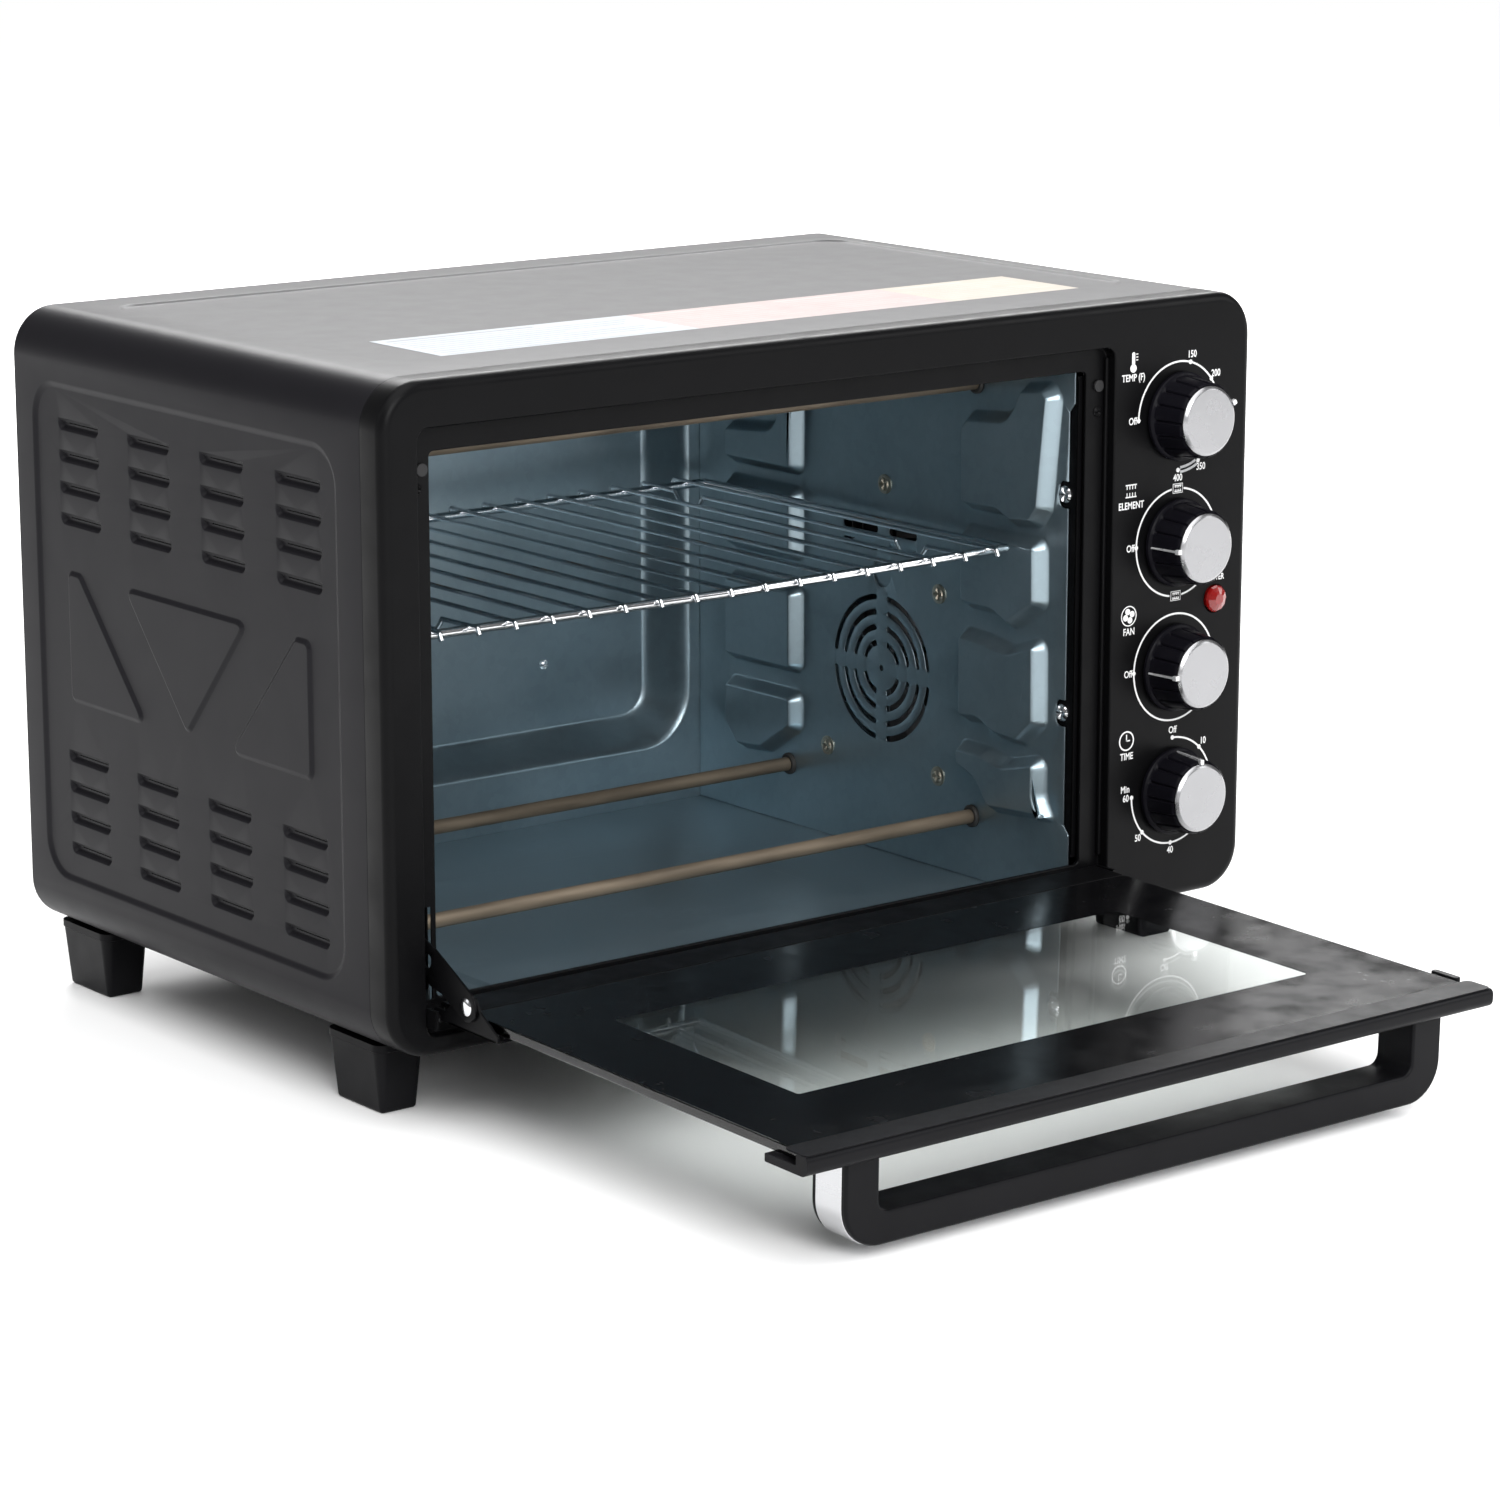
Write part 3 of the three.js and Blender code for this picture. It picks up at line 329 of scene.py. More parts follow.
@dataclass(frozen=True)
class Spun(Finish):
    """Metal turned on a lathe: fine rings round an axis that runs front to back."""

    centre: Point = (0.0, 0.0)

    def relief(self, tree: bpy.types.NodeTree, shader: bpy.types.Node) -> None:
        """Rings as bump."""
        place = tree.nodes.new("ShaderNodeTexCoord")
        centring = tree.nodes.new("ShaderNodeMapping")
        centring.inputs["Location"].default_value = (-self.centre[0] * MM, 0.0, -self.centre[1] * MM)
        centring.inputs["Scale"].default_value = (1.0, 0.0, 1.0)
        tree.links.new(place.outputs["Object"], centring.inputs["Vector"])
        length = tree.nodes.new("ShaderNodeVectorMath")
        length.operation = "LENGTH"
        tree.links.new(centring.outputs["Vector"], length.inputs[0])
        rings = tree.nodes.new("ShaderNodeTexNoise")
        rings.noise_dimensions = "1D"
        rings.inputs["Scale"].default_value = self.grain
        tree.links.new(length.outputs["Value"], rings.inputs["W"])
        self.raise_grain(tree, shader, rings.outputs["Fac"])


CHARCOAL = Finish(
    "charcoal_enamel", (0.0085, 0.0081, 0.0100), 0.42, specular=0.12, grain=2600, bump=0.10,
    mottle=0.03, swing=0.015,
)
BLACK = Finish("black_enamel", (0.0030, 0.0030, 0.0034), 0.38, specular=0.085, grain=2600, bump=0.05)
ZINC = Spangle(
    "zinc_steel", (0.30, 0.375, 0.415), 0.34, metallic=0.9, grain=900, bump=0.06,
    mottle=0.09, mottle_size=22, swing=0.05,
)
SHEATH = Finish(
    "element_sheath", (0.145, 0.115, 0.082), 0.58, metallic=0.35, grain=900, bump=0.35,
    stretch=(0.12, 1.0, 1.0), mottle=0.38, mottle_size=160, swing=0.12,
)
CHROME = Finish("chrome_wire", (0.78, 0.79, 0.81), 0.10, metallic=1.0, bump=0.02, mottle=0.03, swing=0.03)
CAST = Finish("cast_alloy", (0.42, 0.43, 0.44), 0.42, metallic=1.0, grain=700, bump=0.2)
BRUSHED = Finish(
    "brushed_trim", (0.66, 0.665, 0.68), 0.26, metallic=1.0, grain=1500, bump=0.10,
    stretch=(0.02, 0.02, 1.0), mottle=0.05, swing=0.05,
)
PLASTIC = Finish("black_plastic", (0.0055, 0.0055, 0.0065), 0.42, specular=0.10, grain=1800, bump=0.08)
KNOB_PLASTIC = Finish("knob_plastic", (0.0045, 0.0042, 0.0062), 0.34, specular=0.05, grain=2000, bump=0.04)
CERAMIC = Finish("ceramic", (0.72, 0.69, 0.62), 0.6, grain=600, bump=0.15)
GLASS = Finish(
    "door_glass", (0.93, 0.97, 0.95), 0.0, transmission=1.0, ior=1.52, bump=0.0, mottle=0.01, swing=0.0,
)
PRINT_BLACK = Finish("glass_print", (0.003, 0.003, 0.0034), 0.22, specular=0.12, bump=0.02)
RED = Finish("red_lens", (0.30, 0.007, 0.006), 0.14, coat=0.5, transmission=0.25, grain=500, bump=0.1)
RUBBER = Finish("dark_rubber", (0.014, 0.014, 0.015), 0.75, grain=1500, bump=0.2)
WHITE_PRINT = Finish("white_print", (0.80, 0.80, 0.80), 0.5, grain=1500, bump=0.03, mottle=0.03)
GREY_PRINT = Finish("grey_print", (0.42, 0.43, 0.44), 0.5, grain=1500, bump=0.03, mottle=0.03)
POINTER = Finish("pointer_metal", (0.85, 0.85, 0.86), 0.3, metallic=0.7, grain=1500, bump=0.03, mottle=0.03)
COLLAR = Finish("rod_collar", (0.05, 0.048, 0.045), 0.55, metallic=0.5, grain=900, bump=0.1)
DULL_BRASS = Finish("dull_screws", (0.52, 0.47, 0.38), 0.34, metallic=1.0, grain=900, bump=0.1)


def paper(
    name: str, colour: Colour, roughness: float = 0.45, bump: float = 0.05, mottle: float = 0.03,
) -> Finish:
    """Printed paper of the notice on the top."""
    return Finish("label_" + name, colour, roughness, specular=0.1, grain=900, bump=bump, mottle=mottle)


PAPER_WHITE = paper("white", (0.37, 0.395, 0.425), mottle=0.02)
PAPER_RED = paper("red", (0.375, 0.295, 0.285))
PAPER_YELLOW = paper("yellow", (0.395, 0.345, 0.285))
PAPER_INK = paper("ink", (0.235, 0.255, 0.285), 0.5, 0.03)
PAPER_INK_RED = paper("ink_red", (0.45, 0.385, 0.37), 0.5, 0.03)


# ---- flat sheets ------------------------------------------------------------
class Sheet:
    """A flat sheet with pressed, pierced and lanced shapes, drawn in its own plane."""

    def __init__(self) -> None:
        """Starts with an empty drawing."""
        self.bm = bmesh.new()

    def outline(
        self, corners: Sequence[Point], radius: float | Sequence[float] = 0.0,
        level: float = 0.0, steps: int = 5,
    ) -> bmesh.types.BMFace:
        """A closed outline as one face.

        Args:
            corners: corners in order.
            radius: fillet of every corner, or one for each.
            level: height out of the sheet.
            steps: facets of a rounded corner.

        Returns:
            The face inside the outline, facing out.
        """
        radii = [radius] * len(corners) if isinstance(radius, (int, float)) else list(radius)
        reaches = [self.reach(corners, i, radii[i]) for i in range(len(corners))]
        others = set(self.bm.faces)
        verts = [self.bm.verts.new((p, q, level)) for p, q in corners]
        self.bm.faces.new(verts)
        for size in sorted(set(reaches) - {0.0}):
            bmesh.ops.bevel(
                self.bm, geom=[v for v, r in zip(verts, reaches) if r == size], offset=size,
                segments=steps, profile=0.5, affect="VERTICES", material=-1, clamp_overlap=True,
            )
        return face_out(next(f for f in self.bm.faces if f not in others))

    @staticmethod
    def reach(corners: Sequence[Point], i: int, radius: float) -> float:
        """How far a fillet of this radius runs along the edges beside a corner."""
        if radius <= 0:
            return 0.0
        corner = Vector(corners[i])
        before = Vector(corners[i - 1]) - corner
        after = Vector(corners[(i + 1) % len(corners)]) - corner
        half = before.angle(after) / 2
        return round(min(radius / math.tan(half), 0.48 * before.length, 0.48 * after.length), 3)

    def disc(self, centre: Point, radius: float, level: float = 0.0, steps: int = 20) -> bmesh.types.BMFace:
        """A round outline as one face."""
        others = set(self.bm.faces)
        place = Matrix.Translation((*centre, level))
        bmesh.ops.create_circle(self.bm, cap_ends=True, radius=radius, segments=steps, matrix=place)
        return face_out(next(f for f in self.bm.faces if f not in others))

    def press(self, face: bmesh.types.BMFace, steps: Iterable[Step]) -> bmesh.types.BMFace:
        """Presses a face through (inset, depth) steps and returns what is left of it."""
        for inset, depth in steps:
            if inset > 0:
                bmesh.ops.inset_region(
                    self.bm, faces=[face], thickness=inset, use_boundary=True, use_even_offset=True,
                )
            else:
                made = bmesh.ops.extrude_discrete_faces(self.bm, faces=[face])
                face = made["faces"][0]
            bmesh.ops.translate(self.bm, verts=face.verts, vec=(0.0, 0.0, depth))
        return face

    def swell(
        self, face: bmesh.types.BMFace, inset: float, depth: float, rings: int = 6,
    ) -> bmesh.types.BMFace:
        """Presses a face with one sloping wall that is rounded at both ends.

        Args:
            face: the face to press.
            inset: width of the wall.
            depth: how far it moves, up or down.
            rings: facets of the wall.

        Returns:
            The face at the end of the wall.
        """
        base = face.verts[0].co.z
        made = bmesh.ops.inset_region(
            self.bm, faces=[face], thickness=inset, use_boundary=True, use_even_offset=True,
        )
        bmesh.ops.translate(self.bm, verts=face.verts, vec=(0.0, 0.0, depth))
        slopes = {e for f in made["faces"] for e in f.edges if abs(e.verts[0].co.z - e.verts[1].co.z) > WELD}
        cut = bmesh.ops.subdivide_edges(self.bm, edges=list(slopes), cuts=rings - 1, use_grid_fill=True)
        for v in cut["geom_inner"]:
            if isinstance(v, bmesh.types.BMVert):
                share = (v.co.z - base) / depth
                v.co.z = base + depth * share * share * (3 - 2 * share)
        return face

    def open(self, face: bmesh.types.BMFace) -> None:
        """Takes a face away and keeps its edges."""
        bmesh.ops.delete(self.bm, geom=[face], context="FACES_ONLY")

    def hole(self, corners: Sequence[Point], radius: float = 0.0, level: float = 0.0, steps: int = 4) -> None:
        """A hole with rounded corners."""
        self.open(self.outline(corners, radius, level, steps))

    def arc_slot(
        self, centre: Point, radius: float, width: float, start: float, end: float, steps: int = 10,
    ) -> None:
        """A curved slot with round ends, cut along part of a circle."""
        mid = Vector(centre)
        bends = [start + (end - start) * i / steps for i in range(steps + 1)]
        outer = [(radius + width / 2, a) for a in bends]
        inner = [(radius - width / 2, a) for a in reversed(bends)]
        corners = [tuple(mid + r * Vector((math.cos(a), math.sin(a)))) for r, a in outer + inner]
        radii = [0.0] * len(corners)
        for i in (0, steps, steps + 1, 2 * steps + 1):
            radii[i] = 0.42 * width
        self.open(self.outline(corners, radii, steps=3))

    def louvre(
        self, p0: float, p1: float, top: float, height: float, depth: float, radius: float, level: float,
    ) -> None:
        """A lanced louvre: its upper edge is sheared and its tongue is pressed in.

        Args:
            p0: one end.
            p1: the other end.
            top: sheared edge.
            height: from the sheared edge to the foot of the tongue.
            depth: how far the tongue is pressed in.
            radius: round of the lower corners.
            level: height of the sheet round it.
        """
        cells = 6
        low = top - height
        others = set(self.bm.faces)
        rim = [self.bm.verts.new((p0 + (p1 - p0) * i / cells, top, level)) for i in range(cells + 1)]
        for a, b in zip(rim, rim[1:]):
            self.bm.edges.new((a, b))
        lip = [self.bm.verts.new(v.co) for v in rim[1:-1]]
        foot = [self.bm.verts.new((p, low, level)) for p in (p0, p1)]
        self.bm.faces.new([rim[0], *foot, rim[-1], *reversed(lip)])
        bmesh.ops.bevel(
            self.bm, geom=foot, offset=radius, segments=4, profile=0.5, affect="VERTICES", material=-1,
        )
        face = face_out(next(f for f in self.bm.faces if f not in others))
        wall = 0.42 * height
        rings = 4
        for _ in range(rings):
            bmesh.ops.inset_region(
                self.bm, faces=[face], thickness=wall / rings, use_boundary=True, use_even_offset=True,
            )
        pocket = {v for f in self.bm.faces if f not in others for v in f.verts}
        for v in pocket:
            across = min(v.co.x - p0, p1 - v.co.x)
            up = v.co.y - low
            inside = min(across, up)
            if across < radius and up < radius:
                inside = radius - math.hypot(radius - across, radius - up)
            share = max(0.0, min(1.0, inside / wall))
            v.co.z = level - depth * share * share * (3 - 2 * share)

    def fill(self, level: float = 0.0) -> None:
        """Fills the sheet between every open outline that lies at this level."""
        edges = [
            e for e in self.bm.edges
            if len(e.link_faces) < 2 and all(abs(v.co.z - level) < WELD for v in e.verts)
        ]
        verts = list(dict.fromkeys(v for e in edges for v in e.verts))
        index = {v: i for i, v in enumerate(verts)}
        joined = [tuple(index[v] for v in e.verts) for e in edges]
        made = delaunay_2d_cdt([v.co.to_2d() for v in verts], joined, [], INSIDE, WELD)
        corners = [tuple(made[3][i][0] for i in triangle) for triangle in made[2]]
        for triangle in self.between(corners, {frozenset(pair) for pair in joined}):
            face_out(self.bm.faces.new([verts[i] for i in triangle]))

    @staticmethod
    def between(triangles: Sequence[tuple[int, ...]], walls: set[frozenset[int]]) -> list[tuple[int, ...]]:
        """The triangles that lie inside an odd number of outlines.

        Args:
            triangles: triangles by vertex number.
            walls: edges of the outlines.

        Returns:
            The triangles of the sheet itself.
        """
        beside: dict[frozenset[int], list[int]] = {}
        for number, triangle in enumerate(triangles):
            for i in range(3):
                beside.setdefault(frozenset((triangle[i - 1], triangle[i])), []).append(number)
        depth: dict[int, int] = {}
        fresh = [pair[0] for edge, pair in beside.items() if len(pair) == 1]
        level = 1
        while fresh:
            region = list(fresh)
            following = []
            while region:
                number = region.pop()
                if number in depth:
                    continue
                depth[number] = level
                triangle = triangles[number]
                for i in range(3):
                    edge = frozenset((triangle[i - 1], triangle[i]))
                    others = [other for other in beside[edge] if other not in depth]
                    (following if edge in walls else region).extend(others)
            fresh = following
            level += 1
        return [triangle for number, triangle in enumerate(triangles) if depth.get(number, 0) % 2]

    def border(
        self, corners: Sequence[Point], radius: float | Sequence[float] = 0.0, level: float = 0.0,
    ) -> None:
        """The sheet's own edge, with nothing inside it yet."""
        self.open(self.outline(corners, radius, level))


# ---- solids -----------------------------------------------------------------
class Build:
    """A piece being made from parts, in millimetres."""

    def __init__(self) -> None:
        """Starts with no parts."""
        self.bm = bmesh.new()

    def add(self, part: bmesh.types.BMesh, place: Optional[Matrix] = None, finish: int = 0) -> None:
        """Takes a part in.

        Args:
            part: the part, which is freed.
            place: where it goes.
            finish: index of its finish.
        """
        mesh = bpy.data.meshes.new("part")
        for face in part.faces:
            face.material_index = finish
        part.to_mesh(mesh)
        part.free()
        if place is not None:
            mesh.transform(place)
            if place.determinant() < 0:
                mesh.flip_normals()
        self.bm.from_mesh(mesh)
        bpy.data.meshes.remove(mesh)

    def sheet(self, sheet: Sheet, plane: Plane, level: float) -> None:
        """Takes a drawn sheet in at a height along the plane's outward axis."""
        self.add(sheet.bm, plane.matrix() @ Matrix.Translation((0.0, 0.0, level)))

    def prism(
        self, corners: Sequence[Point], plane: Plane, low: float, high: float,
        radius: float | Sequence[float] = 0.0, edge: float = 0.0, steps: int = 5, finish: int = 0,
        place: Optional[Matrix] = None,
    ) -> None:
        """A block with an outline in a plane, rounded corners and rounded edges.

        Args:
            corners: outline.
            plane: axes of the outline.
            low: start along the plane's outward axis.
            high: end along it.
            radius: fillet of every corner, or one for each.
            edge: round of the end edges.
            steps: facets of a corner.
            finish: index of its finish.
            place: extra turn or shift.
        """
        drawn = Sheet()
        face = drawn.outline(corners, radius, low, steps)
        made = bmesh.ops.extrude_face_region(drawn.bm, geom=[face], use_keep_orig=True)
        top = [v for v in made["geom"] if isinstance(v, bmesh.types.BMVert)]
        bmesh.ops.translate(drawn.bm, verts=top, vec=(0.0, 0.0, high - low))
        bmesh.ops.recalc_face_normals(drawn.bm, faces=drawn.bm.faces[:])
        if edge > 0:
            rims = [e for e in drawn.bm.edges if abs(e.verts[0].co.z - e.verts[1].co.z) < WELD]
            bmesh.ops.bevel(
                drawn.bm, geom=rims, offset=edge, segments=3, profile=0.5, affect="EDGES",
                material=-1, clamp_overlap=True,
            )
        turn = plane.matrix()
        self.add(drawn.bm, place @ turn if place is not None else turn, finish)

    def turned(
        self, profile: Sequence[Point], centre: Sequence[float], axis: Sequence[float],
        steps: int = 48, finish: int = 0,
    ) -> None:
        """A lathe-turned part.

        Args:
            profile: (radius, distance along the axis) pairs.
            centre: where the axis starts.
            axis: direction of the axis.
            steps: facets round it.
            finish: index of its finish.
        """
        part = lathe(profile, steps)
        bmesh.ops.recalc_face_normals(part, faces=part.faces[:])
        self.add(part, Matrix.Translation(centre) @ upright(axis), finish)

    def tube(self, path: Sequence[Vector], radius: float, sides: int = 8, finish: int = 0) -> None:
        """A round bar that follows a path."""
        part = bmesh.new()
        ahead = (path[1] - path[0]).normalized()
        turn = upright(ahead).to_3x3()
        place = Matrix.Translation(path[0]) @ upright(ahead)
        bmesh.ops.create_circle(part, cap_ends=True, radius=radius, segments=sides, matrix=place)
        ring = part.edges[:]
        for i in range(1, len(path)):
            made = bmesh.ops.extrude_edge_only(part, edges=ring)
            verts = [v for v in made["geom"] if isinstance(v, bmesh.types.BMVert)]
            edges = [e for e in made["geom"] if isinstance(e, bmesh.types.BMEdge)]
            ring = [e for e in edges if all(v in verts for v in e.verts)]
            last = i + 1 == len(path)
            leaving = (path[i] - path[i - 1] if last else path[i + 1] - path[i]).normalized()
            facing = (ahead + leaving).normalized()
            swing = turn.col[2].rotation_difference(facing).to_matrix()
            for v in verts:
                v.co = path[i] + swing @ (v.co - path[i - 1])
            turn = swing @ turn
            ahead = leaving
        bmesh.ops.contextual_create(part, geom=ring)
        bmesh.ops.recalc_face_normals(part, faces=part.faces[:])
        self.add(part, None, finish)

    def ring(
        self, centre: Point, radius: float, width: float, start: float, sweep: float,
        plane: Plane, level: float, thickness: float, finish: int = 0,
    ) -> None:
        """A flat ring, or part of one, laid on a plane. Angles run from P towards Q."""
        part = bmesh.new()
        turn = Matrix.Rotation(start, 3, "Z")
        section = [(-width / 2, 0.0), (width / 2, 0.0), (width / 2, thickness), (-width / 2, thickness)]
        verts = [part.verts.new(turn @ Vector((radius + r, 0.0, h))) for r, h in section]
        face = part.faces.new(verts)
        whole = sweep > 6.28
        bmesh.ops.spin(
            part, geom=[*verts, *face.edges] if whole else [*verts, *face.edges, face], cent=(0, 0, 0),
            axis=(0, 0, 1), dvec=(0, 0, 0), angle=sweep, steps=max(6, round(sweep * 14)), use_merge=whole,
            use_duplicate=False,
        )
        if whole:
            bmesh.ops.delete(part, geom=[face], context="FACES_ONLY")
        bmesh.ops.recalc_face_normals(part, faces=part.faces[:])
        self.add(part, plane.matrix() @ Matrix.Translation((*centre, level)), finish)

    def disc(
        self, centre: Point, radius: float, plane: Plane, level: float, thickness: float, finish: int = 0,
    ) -> None:
        """A thin round spot laid on a plane."""
        part = bmesh.new()
        bmesh.ops.create_cone(
            part, cap_ends=True, segments=24, radius1=radius, radius2=radius, depth=thickness,
        )
        self.add(part, plane.matrix() @ Matrix.Translation((*centre, level + thickness / 2)), finish)

    def screw(
        self, centre: Sequence[float], axis: Sequence[float], radius: float = 3.6, finish: int = 0,
    ) -> None:
        """A pan-head screw with a cross recess, standing on a surface."""
        crown = 0.52 * radius
        profile = [(0.0, crown), (0.5 * radius, 0.94 * crown), (0.8 * radius, 0.68 * crown),
                   (radius, 0.22 * crown), (radius, -0.1), (0.0, -0.1)]
        part = lathe(profile, 16)
        tip = max(part.verts, key=lambda v: v.co.z)
        # every fourth facet round the crown is drawn down into a cross
        for v in [e.other_vert(tip) for e in tip.link_edges]:
            if round(math.degrees(math.atan2(v.co.y, v.co.x)) / 22.5) % 4 == 0:
                v.co.z -= 0.55 * crown
        tip.co.z -= 0.8 * crown
        bmesh.ops.recalc_face_normals(part, faces=part.faces[:])
        self.add(part, Matrix.Translation(centre) @ upright(axis), finish)

    def lettering(
        self, text: str, size: float, p: float, q: float, plane: Plane, level: float,
        thickness: float = 0.08, finish: int = 0,
    ) -> None:
        """Short words or numbers laid on a plane."""
        curve = bpy.data.curves.new("text", "FONT")
        curve.body = text
        curve.size = size
        curve.align_x = "CENTER"
        curve.align_y = "CENTER"
        curve.extrude = thickness / 2
        curve.offset = 0.016 * size
        curve.resolution_u = 3
        holder = linked("text", curve)
        ready = holder.evaluated_get(bpy.context.evaluated_depsgraph_get())
        mesh = bpy.data.meshes.new_from_object(ready)
        part = bmesh.new()
        part.from_mesh(mesh)
        bmesh.ops.remove_doubles(part, verts=part.verts[:], dist=WELD)
        bpy.data.objects.remove(holder)
        bpy.data.curves.remove(curve)
        bpy.data.meshes.remove(mesh)
        narrow = Matrix.Diagonal((0.82, 1.0, 1.0, 1.0))
        self.add(part, plane.matrix() @ Matrix.Translation((p, q, level)) @ narrow, finish)

    def finish(
        self, name: str, body: str, finishes: Sequence[Finish], slot: str,
        replaces: Sequence[str] = (), smooth: float = 38.0, thickness: float = 0.0, backing: bool = False,
    ) -> bpy.types.Object:
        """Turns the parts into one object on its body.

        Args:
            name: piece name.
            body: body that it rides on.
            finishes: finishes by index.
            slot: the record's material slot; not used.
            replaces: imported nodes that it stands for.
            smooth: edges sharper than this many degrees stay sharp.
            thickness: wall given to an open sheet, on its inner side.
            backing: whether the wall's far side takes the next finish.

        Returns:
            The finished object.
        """
        bmesh.ops.scale(self.bm, vec=(MM, MM, MM), verts=self.bm.verts[:])
        mesh = bpy.data.meshes.new(name)
        self.bm.to_mesh(mesh)
        self.bm.free()
        mesh.shade_smooth()
        mesh.set_sharp_from_angle(angle=math.radians(smooth))
        for finish in finishes:
            mesh.materials.append(finish.material())
        piece = linked(name, mesh)
        if thickness:
            wall = piece.modifiers.new("wall", "SOLIDIFY")
            wall.thickness = thickness * MM
            wall.offset = -1.0
            wall.material_offset = 1 if backing else 0
            wall.material_offset_rim = 1 if backing else 0
        even = piece.modifiers.new("even_shading", "WEIGHTED_NORMAL")
        even.keep_sharp = True
        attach(piece, body)
        if replaces:
            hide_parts(*replaces)
        LOG.info("%s: %d faces on %s", name, len(mesh.polygons), body)
        return piece


# ---- outer shell ------------------------------------------------------------
@dataclass
class Shell:
    """Painted wrap of the body: top, two louvred sides and folded edges."""

    radius: float = 20.0
    fold: float = 30.0
    sheet: float = 1.0
    corner_steps: int = 12
    field_y: Point = (-0.1, 240.9)
    field_z: Point = (55.0, 278.0)
    field_radius: float = 18.0
    field_wall: float = 3.4
    field_depth: float = 1.3
    louvre_length: float = 34.0
    louvre_height: float = 5.6
    louvre_depth: float = 2.2
    louvre_corner: float = 3.4
    louvre_columns: tuple[float, ...] = (13.3, 71.1, 128.9, 186.7)
    louvre_rows: tuple[float, ...] = (262.2, 248.4, 234.6, 220.8, 115.1, 101.3, 87.4, 73.5)
    pad_rise: float = 1.2
    pad_corner: float = 4.5
    pad_wall: float = 2.6
    pads: tuple[tuple[Point, ...], ...] = (
        ((216.5, 137.0), (216.5, 196.0), (204.6, 196.0), (151.0, 137.0)),
        ((170.2, 196.0), (68.2, 196.0), (119.2, 138.0)),
        ((21.9, 137.0), (21.9, 196.0), (33.8, 196.0), (87.4, 137.0)),
    )
    top_x: Point = (-200.0, 209.0)
    top_y: Point = (17.9, 233.9)
    top_radius: float = 14.0
    top_wall: float = 3.0
    top_depth: float = 1.0
    box: Box = field(default_factory=lambda: Box.of("outer_shell"))

    def side(self) -> Sheet:
        """One louvred side, drawn on Y and Z."""
        drawn = Sheet()
        b = self.box
        drawn.border(rectangle(b.y0, b.y1, b.z0 + self.radius, b.z1 - self.radius))
        field_face = drawn.outline(rectangle(*self.field_y, *self.field_z), self.field_radius, steps=8)
        drawn.open(drawn.swell(field_face, self.field_wall, -self.field_depth))
        low = -self.field_depth
        for top in self.louvre_rows:
            for start in self.louvre_columns:
                drawn.louvre(
                    start, start + self.louvre_length, top, self.louvre_height, self.louvre_depth,
                    self.louvre_corner, low,
                )
        for corners in self.pads:
            pad = drawn.outline(corners, self.pad_corner, low, steps=6)
            drawn.swell(pad, self.pad_wall, self.pad_rise)
        drawn.fill(low)
        drawn.fill(0.0)
        return drawn

    def top(self) -> Sheet:
        """The top, drawn on X and Y."""
        drawn = Sheet()
        b = self.box
        drawn.border(rectangle(b.x0 + self.radius, b.x1 - self.radius, b.y0, b.y1))
        middle = drawn.outline(rectangle(*self.top_x, *self.top_y), self.top_radius, steps=8)
        drawn.swell(middle, self.top_wall, -self.top_depth)
        drawn.fill(0.0)
        return drawn

    def corner(self, x: float, z: float, start: float) -> bmesh.types.BMesh:
        """A quarter-round edge along the body, from an angle of start degrees."""
        b = self.box
        part = bmesh.new()
        angle = math.radians(start)
        edge_x, edge_z = x + self.radius * math.cos(angle), z + self.radius * math.sin(angle)
        verts = [part.verts.new((edge_x, y, edge_z)) for y in (b.y0, b.y1)]
        edge = part.edges.new(verts)
        bmesh.ops.spin(
            part, geom=[*verts, edge], cent=(x, 0, z), axis=(0, -1, 0), dvec=(0, 0, 0),
            angle=math.pi / 2, steps=self.corner_steps, use_merge=False, use_duplicate=False,
        )
        return part

    def build(self) -> None:
        """Makes the shell."""
        made = Build()
        b = self.box
        made.sheet(self.side(), LEFT, -b.x0)
        made.sheet(self.side(), RIGHT, b.x1)
        made.sheet(self.top(), TOP, b.z1)
        r = self.radius
        for x, z, start in (
            (b.x1 - r, b.z1 - r, 0), (b.x0 + r, b.z1 - r, 90),
            (b.x0 + r, b.z0 + r, 180), (b.x1 - r, b.z0 + r, 270),
        ):
            made.add(self.corner(x, z, start))
        for x0, x1 in ((b.x0 + r, b.x0 + self.fold), (b.x1 - self.fold, b.x1 - r)):
            flange = Sheet()
            flange.outline(rectangle(x0, x1, b.y0, b.y1))
            made.sheet(flange, BOTTOM, -b.z0)
        bmesh.ops.remove_doubles(made.bm, verts=made.bm.verts[:], dist=0.01)
        bmesh.ops.recalc_face_normals(made.bm, faces=made.bm.faces[:])
        made.finish(
            "shell_wrap", "base", [CHARCOAL], "charcoal_enamel", ["outer_shell"], thickness=self.sheet,
        )


